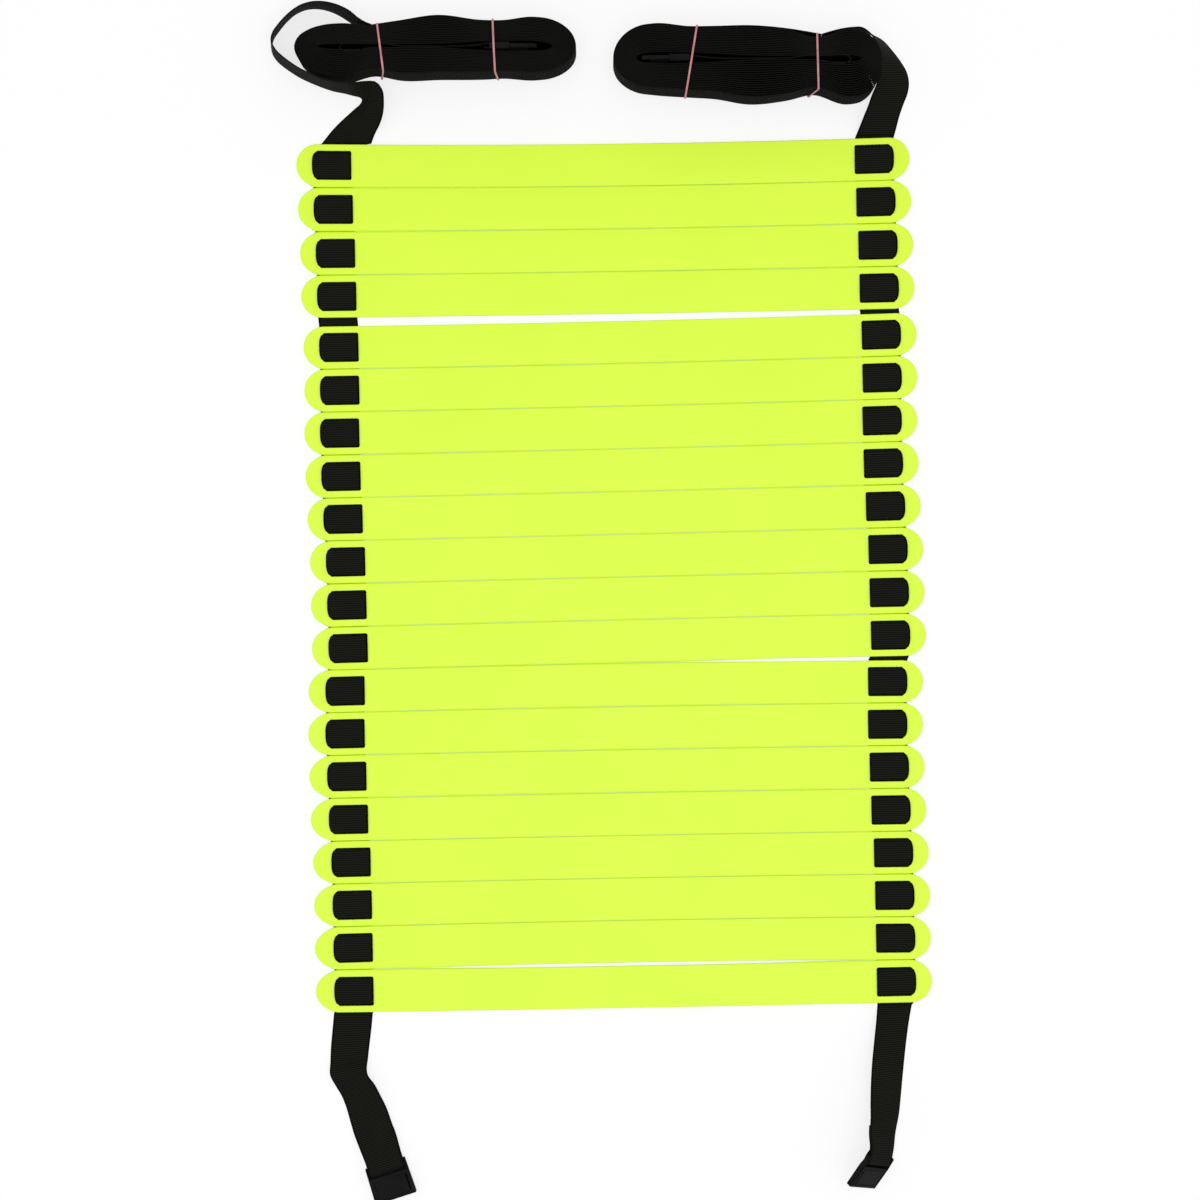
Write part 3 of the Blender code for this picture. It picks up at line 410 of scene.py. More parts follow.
def wovenSkin(name):
    look = woven[name]
    face, edge = look["face"], look["edge"]
    made, tree, shader = newMaterial(name, {"Specular IOR Level": look["shine"]})
    where = placed(tree, weave, "UV")
    # painted shade: the grooves between the ribs go near black, the rib tops keep the face tone
    body = ramp(tree, where["Groove"], (0.15, (0.0005, 0.0006, 0.0004)), (0.90, (face, face * 1.05, face * 0.79)))
    rim = ramp(tree, where["Fuzz"], (0.3, (edge * 0.8, edge * 0.8, edge * 0.68)), (0.7, (edge, edge * 1.02, edge * 0.86)))
    tint = tree.nodes.new("ShaderNodeMix")
    tint.data_type = "RGBA"
    tree.links.new(where["Selvedge"], tint.inputs["Factor"])
    for entry, colour in zip([s for s in tint.inputs if s.type == "RGBA"], (body, rim)):
        tree.links.new(colour, entry)
    colour = [s for s in tint.outputs if s.type == "RGBA"][0]
    surfaced(tree, shader, colour, where["Fuzz"], where["Height"], look)
    return made


skins = {"rung": mouldedSkin("limePlastic"), "webbing": wovenSkin("blackWebbing"),
         "buckle": mouldedSkin("blackPlastic"), "band": mouldedSkin("pinkRubber")}
# a lit and shaded copy of the black webbing for the coils: painted shade on the faces, painted light on the edges
shadedWoundWebbing = wovenSkin("shadedWoundWebbing")
print("materials made")


def finishPiece(piece, slot, body, *replaced):
    piece.data.materials.clear()
    piece.data.materials.append(skins[slot])
    if body is not None:  # otherwise the piece lies between two bodies and is attached to neither
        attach(piece, body)
    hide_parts(*replaced)


# Where the rungs lie
# Each strap line steps down by a rung's width, the gap and that pair's slack; a rung's turn joins its two places.
def strapLine(first, slack):
    steps = rung["width"] + layout["gap"] + np.array(slack) * rung["width"]
    return first * rung["width"] - np.concatenate([[0.0], np.cumsum(steps)])


leftLine = strapLine(layout["firstLeft"], layout["gapLeft"])
rightLine = strapLine(layout["firstRight"], layout["gapRight"])
rungTurns = np.arctan2(rightLine - leftLine, 2 * rung["strapAt"])
rungMiddles = np.stack([np.array(layout["aside"]) * rung["width"], (leftLine + rightLine) / 2], axis=1)
rungBows = np.array(layout["bow"]) * rung["width"]


def rungToPart(number, x, y, z):
    # Bowed by bow * (1 - (x / strapAt)^2), turned by the rung's turn and moved to its middle.
    x, y, z = np.broadcast_arrays(x, y, z)
    y = y - rungBows[number] * (1 - (x / rung["strapAt"]) ** 2)
    c, s = math.cos(rungTurns[number]), math.sin(rungTurns[number])
    middle = rungMiddles[number]
    return np.stack([middle[0] + x * c - y * s, middle[1] + x * s + y * c, z], axis=-1) + shift


# Rungs
# The top is a grid x(i), y(i, j): rows keep their distance from the middle as far as the slots' ends, and past
# them narrow with the half-round end. Cells over the slots are left out. Every open edge then gets a wall:
# a quarter round, a straight and a quarter round, pushed out along the edge's own normal.

def rungColumns():
    half = rung["length"] / 2
    radius = rung["width"] / 2 - rung["edgeRound"]
    reach = half - rung["width"] / 2
    innerStart, outerStart = rung["slotInner"] - rung["innerCorner"], rung["slotOuter"] - rung["outerCorner"]
    innerBend = -innerStart - rung["innerCorner"] * np.sin(np.radians(np.linspace(0, 90, 5)))
    outerBend = outerStart + rung["outerCorner"] * np.linspace(0, 1, 6)
    slotX = rung["strapAt"] + np.concatenate([innerBend[::-1], np.linspace(-innerStart, outerStart, 8)[1:-1], outerBend])
    firstTurn = math.asin((rung["strapAt"] + rung["slotOuter"] - reach) / radius)
    turns = np.linspace(firstTurn, math.radians(87.5), 13)[1:]
    endX = reach + radius * np.sin(turns)
    inner = np.linspace(0, rung["strapAt"] - rung["slotInner"], 11)[1:-1]
    positive = np.concatenate([inner, slotX, endX])
    return np.concatenate([-positive[::-1], [0.0], positive])


def rungGrid():
    x = rungColumns()
    radius = rung["width"] / 2 - rung["edgeRound"]
    reach = rung["length"] / 2 - rung["width"] / 2
    slotIn = rung["bridge"] / 2 - rung["slotRound"]
    slotOut = rung["bridge"] / 2 + rung["slot"] + rung["slotRound"]
    still = rung["strapAt"] + rung["slotOuter"]
    narrow = np.sqrt(radius**2 - np.maximum(0, np.abs(x) - reach) ** 2)
    narrowStill = np.sqrt(radius**2 - np.maximum(0, np.minimum(np.abs(x), still) - reach) ** 2)
    inner = np.array([0.0, 0.25, 0.5, 0.72, 0.93, 1.0]) * slotIn
    outerShare = np.array([0.0, 0.10, 0.35, 0.65, 0.90, 1.0])
    # the slot's outer edge falls in at both ends: a long slant towards the rung's end, a small quarter round inside
    aside = np.abs(x) - rung["strapAt"]
    slant = np.clip((aside - rung["slotOuter"]) / rung["outerCorner"] + 1, 0, 1) ** 1.2 * rung["outerCut"]
    bend = np.clip((-aside - rung["slotInner"]) / rung["innerCorner"] + 1, 0, 1)
    small = (1 - np.sqrt(1 - bend**2)) * rung["innerCorner"]
    hair = 1e-9
    within = (aside >= -rung["slotInner"] - hair) & (aside <= rung["slotOuter"] + hair)
    cut = np.where(within, slant + small, 0.0)
    outer = slotOut + outerShare[None, :] * (narrowStill[:, None] - slotOut)
    outer[:, 0] -= cut
    side = np.hstack([np.repeat(inner[None, :], len(x), 0), outer])
    side = side * (narrow / narrowStill)[:, None]
    y = np.hstack([-side[:, ::-1], side[:, 1:]])
    slotRows = (len(inner) - 1, side.shape[1])
    return x, y, slotRows


def gapBelow(number, x):
    # Clear distance to the next rung: from strap to strap it changes evenly, and the two bows part or close it.
    if not 0 <= number < layout["count"] - 1:
        return np.zeros_like(x)
    share = (x + rung["strapAt"]) / (2 * rung["strapAt"])
    left, right = layout["gapLeft"][number], layout["gapRight"][number]
    bows = layout["bow"][number + 1] - layout["bow"][number]
    return layout["gap"] + rung["width"] * (left + (right - left) * share + bows * (1 - (x / rung["strapAt"]) ** 2))


def makeRung(number):
    x, y, (slotRow, sideRows) = rungGrid()
    columns, rows = y.shape
    sheetX = np.repeat(x[:, None], rows, 1)
    halfWidth = rung["width"] / 2
    across = np.abs(y) / halfWidth
    # the margins sink a little towards the long edges, more on some rungs than on others
    wander = 0.5 + 0.5 * np.sin(7.3 * sheetX / rung["length"] + 2.1 * number) * np.sin(1.7 * number + 0.6)
    sink = rung["marginDip"] * wander * ease((across - 0.45) / 0.55) * ease((0.19 - np.abs(sheetX)) / 0.05)
    height = rung["thickness"] - sink
    i, j = np.meshgrid(np.arange(columns - 1), np.arange(rows - 1), indexing="ij")
    aside = np.abs((x[i] + x[i + 1]) / 2) - rung["strapAt"]
    overSlot = (aside > -rung["slotInner"]) & (aside < rung["slotOuter"])
    lowRow, highRow = sideRows - 1 - slotRow - 1, sideRows - 1 + slotRow
    keep = ~(overSlot & ((j == lowRow) | (j == highRow)))
    i, j = i[keep], j[keep]
    top = np.stack([i * rows + j, (i + 1) * rows + j, (i + 1) * rows + j + 1, i * rows + j + 1], axis=-1)
    total = columns * rows
    plan = np.stack([sheetX, y], axis=-1).reshape(-1, 2)
    high = height.reshape(-1)
    # open edges: directed edges with no partner the other way
    edges = np.concatenate([top[:, [k, (k + 1) % 4]] for k in range(4)])
    codes, reverse = edges[:, 0] * total + edges[:, 1], edges[:, 1] * total + edges[:, 0]
    edges = edges[~np.isin(codes, reverse)]
    way = unit(plan[edges[:, 1]] - plan[edges[:, 0]])
    out = np.zeros((total, 2))
    for end in (0, 1):
        np.add.at(out, edges[:, end], np.stack([way[:, 1], -way[:, 0]], axis=-1))
    rim = np.unique(edges)
    normal = unit(out[rim])
    normal *= (1 / np.clip(np.linalg.norm(out[rim], axis=1) / 2, 0.75, 1))[:, None]
    pastSpine = np.maximum(0, np.abs(plan[rim, 0]) - (rung["length"] / 2 - halfWidth))
    atEdge = np.linalg.norm(np.stack([pastSpine, plan[rim, 1]], -1), axis=1) > halfWidth - rung["edgeRound"] * 1.6
    rounding = np.where(atEdge, rung["edgeRound"], rung["slotRound"])[:, None]
    turns = np.radians(np.linspace(0, 90, 5))[1:]
    push = np.concatenate([np.sin(turns), np.sin(turns)[::-1]])[None, :] * rounding
    fall = (1 - np.cos(turns))[None, :] * rounding
    base = high[rim][:, None]
    levels = np.concatenate([base - fall, base - rung["thickness"] + fall[:, ::-1]], axis=1)
    # the long edges widen towards the foot, as far as the neighbour leaves room
    rimX = plan[rim, 0]
    room = np.where(normal[:, 1] < 0, gapBelow(number, rimX), gapBelow(number - 1, rimX))
    flare = np.clip(room / 2 - rung["flareClear"], 0, rung["footFlare"]) * (atEdge & (np.abs(normal[:, 1]) > 0.95))
    flare = flare * (1 - ease((room - rung["openFrom"]) / rung["openOver"]))
    push = push + flare[:, None] * np.array(rung["flareDown"])
    wallPlan = plan[rim][:, None] + normal[:, None] * push[:, :, None]
    wall = np.concatenate([wallPlan, levels[:, :, None]], axis=-1)
    depth = wall.shape[1]
    local = np.concatenate([
        np.hstack([plan, high[:, None]]),
        np.hstack([plan, high[:, None] - rung["thickness"]]),
        wall.reshape(-1, 3),
    ])
    place = np.searchsorted(rim, edges)
    chain = np.concatenate([
        edges[:, :, None],
        2 * total + place[:, :, None] * depth + np.arange(depth)[None, None, :],
        edges[:, :, None] + total,
    ], axis=2)
    walls = np.stack([chain[:, 1, :-1], chain[:, 0, :-1], chain[:, 0, 1:], chain[:, 1, 1:]], axis=-1).reshape(-1, 4)
    faces = np.concatenate([top, top[:, ::-1] + total, walls])
    used, faces = np.unique(faces, return_inverse=True)
    faces = faces.reshape(-1, 4)
    local = local[used]
    # the lower rungs' left ends reach out a little further than the upper ones'
    further = rung["endReach"] * ease((number - rung["reachAfter"]) / rung["reachOver"])
    local[:, 0] -= further * ease((-local[:, 0] - rung["strapAt"] - 0.017) / 0.020)
    points = rungToPart(number, local[:, 0], local[:, 1], rung["bottom"] + local[:, 2])
    name = f"rung_{number + 1:02d}"
    piece = meshObject(f"{name}_board", points, faces)
    finishPiece(piece, "rung", name, name)


for number in range(layout["count"]):
    makeRung(number)
print("rungs made")


# Straps through the rungs
# Over a bridge the strap runs from beneath one margin up through a slot, across and down again: (y, z) in the rung.

def bridgePath():
    low, high = halfWeb, rungTop + webbing["clear"] + halfWeb
    slotAt = (rung["bridge"] + rung["slot"]) / 2
    side = np.array([
        (rung["width"] / 2 - 0.0012, low), (slotAt + 0.0030, low), (slotAt + 0.0014, low + 0.0002),
        (slotAt + 0.0006, low + 0.0011), (slotAt, (low + high) / 2), (slotAt - 0.0006, high - 0.0011),
        (slotAt - 0.0014, high - 0.0002), (slotAt - 0.0030, high), (slotAt * 0.4, high + 0.00015),
    ])
    return np.concatenate([side, [(0.0, high + 0.0002)], side[::-1] * (-1, 1)])


def marginEdges(number, side, upDown):
    # Where the strap's two edges lie beneath the rung's upper (1) or lower (-1) margin
    x, half = side * rung["strapAt"], webbing["width"] / 2
    margin = rung["width"] / 2 - rung["underMargin"]
    return [rungToPart(number, x + reach, upDown * margin, halfWeb) for reach in (-half, half)]


def makeStraps():
    path = bridgePath()
    half = webbing["width"] / 2
    # towards the slots its edges draw in: half width = half - draw * (|y| / slot's far edge)^3.5, undone past the slot
    slotFar = rung["bridge"] / 2 + rung["slot"]
    gone = np.minimum(1, np.abs(path[:, 0]) / slotFar) ** 3.5
    gone = gone * ease((rung["width"] / 2 - np.abs(path[:, 0])) / webbing["drawBack"])
    innerHalf, outerHalf = half - webbing["drawInner"] * gone, half + 0.0001 - webbing["drawOuter"] * gone
    for number in range(layout["count"]):
        start, runs = webbing["patternStep"] * number, []
        for side in (-1, 1):
            x = side * rung["strapAt"]
            reaches = (-outerHalf, innerHalf) if side < 0 else (-innerHalf, outerHalf)
            left, right = (rungToPart(number, x + reach, path[:, 0], path[:, 1]) for reach in reaches)
            runs.append(webRun((left + right) / 2, right - left, 0.0007, start))
        piece = meshObject(f"straps_over_{number + 1:02d}", *joined(runs))
        finishPiece(piece, "webbing", f"rung_{number + 1:02d}", "left_strap_woven", "right_strap_woven")
    for number in range(layout["count"] - 1):
        runs = [
            flatLength(marginEdges(number, side, -1), marginEdges(number + 1, side, 1), webbing["betweenThickness"],
                       webbing["patternStep"] * number + 0.033)
            for side in (-1, 1)
        ]
        piece = meshObject(f"straps_under_{number + 1:02d}", *joined(runs))
        finishPiece(piece, "webbing", None, "left_strap_woven", "right_strap_woven")
        # the two straps' places at this rung's edge and at the next one's, the line between them and the way square to
        # it are worked out, but nothing uses them
        upper, lower = (
            [rungToPart(which, side * rung["strapAt"], edge, 0.0) for side in (-1, 1)]
            for which, edge in ((number, -rung["width"] / 2), (number + 1, rung["width"] / 2))
        )
        line = upper[1] - upper[0]
        out = np.array([line[1], -line[0], 0.0]) / np.linalg.norm(line[:2])
        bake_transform(piece)


makeStraps()
print("straps made")


# Coils of spare webbing
coils = {
    "left": {
        "middle": (-3.819, 12.974), "end": (-5.337, 13.468), "mirror": 1, "turns": 15, "rear": 0.0420,
        "places": (-0.0780, -0.0520, -0.0300, 0.0000, 0.0360, 0.0520, 0.0780),
        "up": (0.0183, 0.0166, 0.0207, 0.0250, 0.0210, 0.0208, 0.0235),
        "down": (0.0240, 0.0180, 0.0216, 0.0209, 0.0206, 0.0198, 0.0212),
        "core": (0.0015, 0.0014, 0.00135, 0.0014, 0.0034, 0.0038, 0.0040),
        "farEnd": (0.0180, 0.0368), "nearEnd": (0.0150, 0.0337), "farSquare": 1.0,
    },
    "right": {
        "middle": (3.574, 12.694), "end": (5.190, 13.245), "mirror": -1, "turns": 16, "rear": 0.0508,
        "places": (-0.0790, -0.0505, -0.0300, 0.0000, 0.0300, 0.0505, 0.0790),
        "up": (0.0231, 0.0168, 0.0236, 0.0263, 0.0258, 0.0256, 0.0279),
        "down": (0.0312, 0.0236, 0.0281, 0.0313, 0.0268, 0.0256, 0.0236),
        "core": (0.0016, 0.0014, 0.00135, 0.0016, 0.0032, 0.0040, 0.0044),
        "farEnd": (0.0085, 0.0250), "nearEnd": (0.0150, 0.0330), "farSquare": 0.86,
    },
}
winding = {"endSteps": 8, "base": 0.0011, "raised": 0.0020, "barRadius": 0.0012, "barFromRear": 0.0016, "step": 0.003}


def planSpot(shares):
    return np.array(shares) * rung["width"] + shift[:2]


def innerEnd(coil):
    # Sewn round the plug's bar, then straight to the first fold
    bar = coil["rear"] + winding["barFromRear"]
    r = winding["barRadius"] + webbing["clear"] + halfWeb
    turn = np.radians([-90, -45, 0, 45, 90])
    far, fold = coil["places"][0], coil["core"][0] / 2
    return np.concatenate([
        [(bar - 3 * r, -0.80 * r), (bar - 1.5 * r, -0.97 * r)],
        np.stack([bar + r * np.cos(turn), r * np.sin(turn)], axis=1),
        [(bar - 2 * r, 0.82 * r), (bar - 6 * r, 0.25 * r), (bar - 11 * r, 0.0)],
        [(far / 3, 0.0), (far, 0.0), (far - fold, -fold)],
    ])


def coilLine(coil):
    # Along the sides y = core + share * (outline - core), where share grows evenly with the stations and is 1
    # on the last turn; each end is half an ellipse whose reach grows the same way (cos and sin to the power farSquare
    # on the last turn's lower far corner).
    places = np.array(coil["places"])
    last, around = len(places) - 1, winding["endSteps"]
    back = 2 * last + around  # where the far end starts
    stations = back + around
    total = coil["turns"] * stations + back - 2
    n = np.arange(total + 1)
    phase = n % stations
    share = n / (total - (total - phase) % stations)
    core, up, down = (np.array(coil[key]) for key in ("core", "up", "down"))

    def sideY(k, table):
        return core[k] + share * (table[k] - halfWeb - core[k])

    def reach(pair):
        return pair[0] + share * (pair[1] - halfWeb - pair[0])

    nearTurn = np.radians(180 * (phase - last) / around - 90)
    farTurn = np.radians(180 * (phase - back) / around + 90)
    going, coming = np.clip(phase, 0, last), np.clip(back - phase, 0, last)
    final, zero = np.full_like(phase, last), np.zeros_like(phase)
    nearSide = np.where(nearTurn < 0, sideY(final, down), sideY(final, up))
    farSide = np.where(np.sin(farTurn) > 0, sideY(zero, up), sideY(zero, down))
    parts = [phase < last, phase < last + around, phase < back]
    square = np.where(np.sin(farTurn) < 0, 1 - share * (1 - coil["farSquare"]), 1.0)
    farX, farY = (np.sign(side) * np.abs(side) ** square for side in (np.cos(farTurn), np.sin(farTurn)))
    x = np.select(parts, [places[going], places[-1] + reach(coil["nearEnd"]) * np.cos(nearTurn), places[coming]],
                  places[0] + reach(coil["farEnd"]) * farX)
    y = np.select(parts, [-sideY(going, down), nearSide * np.sin(nearTurn), sideY(coming, up)], farSide * farY)
    return np.stack([x, y], axis=1)


def makeCoil(word):
    coil = coils[word]
    inner = innerEnd(coil)
    line = np.concatenate([inner, coilLine(coil)])
    line = line * (coil["mirror"], 1) + planSpot(coil["middle"])
    line = np.concatenate([line, [planSpot(coil["end"])]])
    order = np.arange(len(line))
    base = winding["base"] + winding["raised"] * np.clip((len(inner) - 3 - order) / 2, 0, 1)
    middles = np.column_stack([line, base + webbing["width"] / 2])
    upright = np.tile((0.0, 0.0, webbing["width"]), (len(line), 1))
    piece = meshObject(f"{word}_coil_webbing", *webRun(middles, upright, winding["step"]))
    finishPiece(piece, "webbing", "coils", f"{word}_coil")
    # the coil wears the copy with painted shade on its faces and painted light on its edges
    piece.data.materials[0] = shadedWoundWebbing


for word in coils:
    makeCoil(word)
print("coils made")


# Leads, from the coils to the first rung: while on edge a place and a lean, which moves the high edge to the left of
# the way and the low edge to the right; then low edge x, y, high edge x, y and rise
leads = {
    "left": {
        "upright": (
            (-5.353, 13.475, 0), (-5.51, 13.525, -0.02), (-5.685, 13.608, -0.06), (-5.889, 13.758, -0.09),
            (-6.181, 13.922, -0.05), (-6.443, 14.01, 0), (-6.72, 14.04, 0.05), (-7.012, 13.988, 0.1),
            (-7.216, 13.882, 0.12), (-7.405, 13.72, 0.12), (-7.595, 13.499, 0.11), (-7.72, 13.312, 0.11),
            (-7.761, 13.137, 0.11), (-7.723, 12.991, 0.11), (-7.628, 12.846, 0.1), (-7.474, 12.708, 0.09),
            (-7.299, 12.58, 0.08), (-7.095, 12.45, 0.07), (-6.857, 12.334, 0.06), (-6.606, 12.228, 0.05),
            (-6.327, 12.14, 0.06),
        ),
        "tipping": (
            (-6.079, 12.06, -6.035, 12.14, 0.93), (-5.85, 12, -5.765, 12.125, 0.921),
            (-5.712, 11.962, -5.505, 12.16, 0.895), (-5.662, 11.9, -5.262, 12.16, 0.83),
            (-5.705, 11.8, -5.122, 12.005, 0.745), (-5.83, 11.69, -5.09, 11.74, 0.625),
            (-5.995, 11.545, -5.122, 11.5, 0.455), (-6.17, 11.385, -5.215, 11.285, 0.245),
            (-6.36, 11.19, -5.35, 11.08, 0.058), (-6.625, 10.86, -5.44, 10.86, 0),
        ),
    },
    "right": {
        "upright": (
            (5.207, 13.251, 0), (5.414, 13.315, 0), (5.671, 13.395, -0.03), (5.933, 13.455, -0.08),
        ),
        "tipping": (
            (6.24, 13.5, 6.15, 13.41, 0.925), (6.49, 13.44, 6.33, 13.29, 0.905), (6.713, 13.325, 6.45, 13.125, 0.872),
            (6.945, 13.08, 6.545, 12.905, 0.829), (7.15, 12.815, 6.595, 12.66, 0.738),
            (7.295, 12.57, 6.59, 12.43, 0.61), (7.352, 12.31, 6.53, 12.19, 0.47), (7.315, 12.04, 6.43, 11.945, 0.32),
            (7.215, 11.78, 6.35, 11.715, 0.33), (7.12, 11.5, 6.235, 11.43, 0.3), (7.05, 11.23, 6.145, 11.19, 0.15),
            (7.003, 11.055, 6.082, 11.032, 0),
        ),
    },
}


def flatness(rise):
    return np.sqrt(np.maximum(0.0, 1 - (rise / webbing["width"]) ** 2))


def leadEdges(lead):
    upright, tipping = np.array(lead["upright"]), np.array(lead["tipping"])
    rise = np.full((len(upright), 1), webbing["width"] / rung["width"])
    way = np.gradient(upright[:, :2], axis=0)
    lean = np.stack([-way[:, 1], way[:, 0]], axis=1) / np.linalg.norm(way, axis=1)[:, None] * upright[:, 2:] / 2
    rows = np.concatenate([np.hstack([upright[:, :2] - lean, upright[:, :2] + lean, rise]), tipping])
    share = np.clip(1 - np.arange(len(rows)) / len(upright), 0, 1)
    rise = rows[:, 4] * rung["width"]
    base = winding["base"] * ease(share) + halfWeb * flatness(rise)
    low = np.column_stack([rows[:, :2] * rung["width"] + shift[:2], base])
    high = np.column_stack([rows[:, 2:4] * rung["width"] + shift[:2], base + rise])
    return low, high


def leftToRight(*spots):
    # The strap's two edges where it lies flat on the floor
    return [np.array([x, y, halfWeb]) for x, y, z in sorted(spots, key=lambda spot: spot[0])]


def makeLead(word):
    side = sideOf[word]
    low, high = leadEdges(leads[word])
    piece = meshObject(f"{word}_lead_webbing", *webRun((low + high) / 2, high - low))
    finishPiece(piece, "webbing", "coils", f"{word}_strap_lead")
    # the last of the strap, under the first rung's margin
    ends = leftToRight(low[-1], high[-1])
    piece = meshObject(f"{word}_strap_under_first", *flatLength(ends, marginEdges(0, side, 1), webbing["endThickness"]))
    finishPiece(piece, "webbing", None, f"{word}_strap_woven")
    edge = rungToPart(0, side * rung["strapAt"], rung["width"] / 2, halfWeb)
    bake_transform(piece)


for word in sideOf:
    makeLead(word)
print("leads made")


# Tails and their sockets
tails = {
    "left": {
        "edges": (
            (-6.332, -9.844, -5.404, -9.831, 0, 0), (-6.368, -10.236, -5.44, -10.212, 0, 0.0002),
            (-6.404, -10.665, -5.487, -10.617, 0, 0.0004), (-6.415, -10.998, -5.516, -10.903, 0.02, 0.001),
            (-6.4035, -11.283, -5.528, -11.117, 0.06, 0.0054), (-6.296, -11.54, -5.497, -11.29, 0.15, 0.0012),
            (-6.153, -11.783, -5.344, -11.498, 0.16, 0.0006), (-6.046, -12.045, -5.213, -11.759, 0.13, 0.0004),
            (-5.951, -12.379, -5.07, -12.069, 0.08, 0.0002), (-5.844, -12.712, -4.951, -12.402, 0.03, 0),
            (-5.713, -13.045, -4.832, -12.735, 0, 0), (-5.5811, -13.403, -4.7079, -13.118, 0, 0),
            (-5.4961, -13.6532, -4.6289, -13.37, 0, 0),
        ),
        "droop": 0.0, "slide": 0.00247, "closedSlit": True,
    },
    "right": {
        "edges": (
            (7.42, -9.636, 6.6, -9.636, 0, 0), (7.36, -9.971, 6.555, -9.971, 0.17, 0),
            (7.295, -10.437, 6.49, -10.437, 0.32, 0), (7.24, -10.933, 6.43, -10.933, 0.42, 0),
            (7.195, -11.399, 6.395, -11.399, 0.49, 0), (7.155, -11.837, 6.38, -11.837, 0.535, 0),
            (7.085, -12.216, 6.35, -12.187, 0.59, 0), (6.985, -12.638, 6.315, -12.551, 0.64, 0),
            (6.925, -13.036, 6.329, -12.868, 0.67, 0), (6.829, -13.341, 6.232, -13.131, 0.654, 0),
        ),
        "droop": 18.0, "slide": 0.0, "closedSlit": False,
    },
}
socketForm = {
    "width": 0.0365,
    "plate": 0.0195,
    "thickness": 0.0086,
    "railLength": 0.0110,
    "barRadius": 0.0016,
    "turnBack": 0.0300,
    "liftLength": 0.0450,
    "squeeze": 0.035,  # share of the strap's width, between the rails
    "rail": 0.0019,
    "railIn": 0.0007,
    "railThin": 0.45,
    "railFrom": 0.0025,  # along v, and how long the change takes
    "railOver": 0.008,
    "sideWall": 0.0030,
    "slitShut": 0.0014,
    "lipBack": 0.0012,
    "thin": 0.42,
    "narrow": 0.96,
    "mouthThin": 0.12,
    "mouthFrom": 0.018,
    "mouthOver": 0.007,
    "edge": 0.00035,
    "sharpFrom": 32,  # degrees between two faces
}


def tailRows(word):
    rows = np.array(tails[word]["edges"])
    places = rows[:, :5] * rung["width"]
    low, high, rise = places[:, :2], places[:, 2:4], places[:, 4]
    base = halfWeb * flatness(rise) + rows[:, 5]
    low = np.column_stack([low + shift[:2], base])
    high = np.column_stack([high + shift[:2], base + rise])
    return low, high


def makeTail(word):
    # The strap's two layers part near the bar: the upper one goes over it, round it and back beneath.
    # It hands back the socket's frame: the bar's middle, across, heading and normal.
    low, high = tailRows(word)
    start = leftToRight(low[0], high[0])
    middle = (low + high) / 2
    way = middle[-1] - middle[-2]
    way = way / np.linalg.norm(way) * (socketForm["railLength"] / 2 + webbing["clear"]) * (1, 1, 0)
    low = np.concatenate([low[:-1], [low[-1] - way], low[-1:]])
    high = np.concatenate([high[:-1], [high[-1] - way], high[-1:]])
    middle, across = (low + high) / 2, high - low
    along = np.concatenate([[0.0], np.cumsum(np.linalg.norm(np.diff(middle, axis=0), axis=1))])
    total = along[-1]
    lastAcross = across[-1] / np.linalg.norm(across[-1])
    heading = (middle[-1] - middle[-2]) * (1, 1, 0)
    heading = heading - lastAcross * heading.dot(lastAcross)
    heading /= np.linalg.norm(heading)
    normal = np.cross(lastAcross, heading)
    normal = normal if normal[2] > 0 else -normal
    drop = math.radians(tails[word]["droop"])
    socketHeading = heading * math.cos(drop) - normal * math.sin(drop)
    socketNormal = normal * math.cos(drop) + heading * math.sin(drop)
    reach = socketForm["railLength"] / 2 + socketForm["plate"]
    need = socketForm["width"] / 2 * abs(lastAcross[2]) + socketForm["thickness"] / 2 * abs(socketNormal[2])
    need = need + max(0.0, -socketHeading[2]) * reach
    lift = need - (middle[-1, 2] - shift[2])
    r = socketForm["barRadius"] + webbing["clear"] + halfWeb
    layer = webbing["thickness"] + webbing["clear"]
    toBar = total - along
    # between the rails it is squeezed a little narrower
    railLength = socketForm["railLength"]
    across = across * (1 - socketForm["squeeze"] * ease((1.5 * railLength - toBar) / (0.6 * railLength)))[:, None]
    normals = unit(np.cross(np.gradient(middle, axis=0), across))
    normals *= np.sign(normals[0, 2])
    rise = lift * ease((socketForm["liftLength"] - toBar) / socketForm["liftLength"])
    lifted = middle + np.array([0, 0, 1.0]) * rise[:, None]
    back = socketForm["turnBack"]
    spread = layer / 2 * ease((1.5 * back - toBar) / (back / 3)) + (r - layer / 2) * ease((back / 2 - toBar) / (back / 2))
    gone = np.clip((spread - layer / 2) / (r - layer / 2), 0, 1)
    offset = np.where(spread <= layer / 2, 2 * spread, spread + layer / 2 * (1 - gone))
    top = lifted + normals * offset[:, None]
    bar = lifted[-1]
    top[-1] = bar + normal * r
    turn = np.radians([60, 30, 0, -30, -60, -90])[:, None]
    loop = bar + (heading * np.cos(turn) + normal * np.sin(turn)) * r
    at = total - back * np.arange(1, 7) / 6
    under, underAcross, underNormal = (
        np.stack([np.interp(at, along, values[:, k]) for k in range(3)], axis=1) for values in (lifted, across, normals)
    )
    under = under - underNormal * (r * (1 - ease(2 * np.arange(1, 7) / 6)))[:, None]
    path = np.concatenate([top, loop, under])
    sides = np.concatenate([across, np.tile(across[-1], (len(loop), 1)), underAcross])
    # before it, the length from beneath the last rung's margin
    above = flatLength(marginEdges(layout["count"] - 1, sideOf[word], -1), start, webbing["endThickness"])
    piece = meshObject(f"{word}_tail_webbing", *joined([webRun(path, sides, 0.0012), above]))
    finishPiece(piece, "webbing", "rung_20", f"{word}_strap_tail")
    return bar - lastAcross * tails[word]["slide"], lastAcross, socketHeading, socketNormal


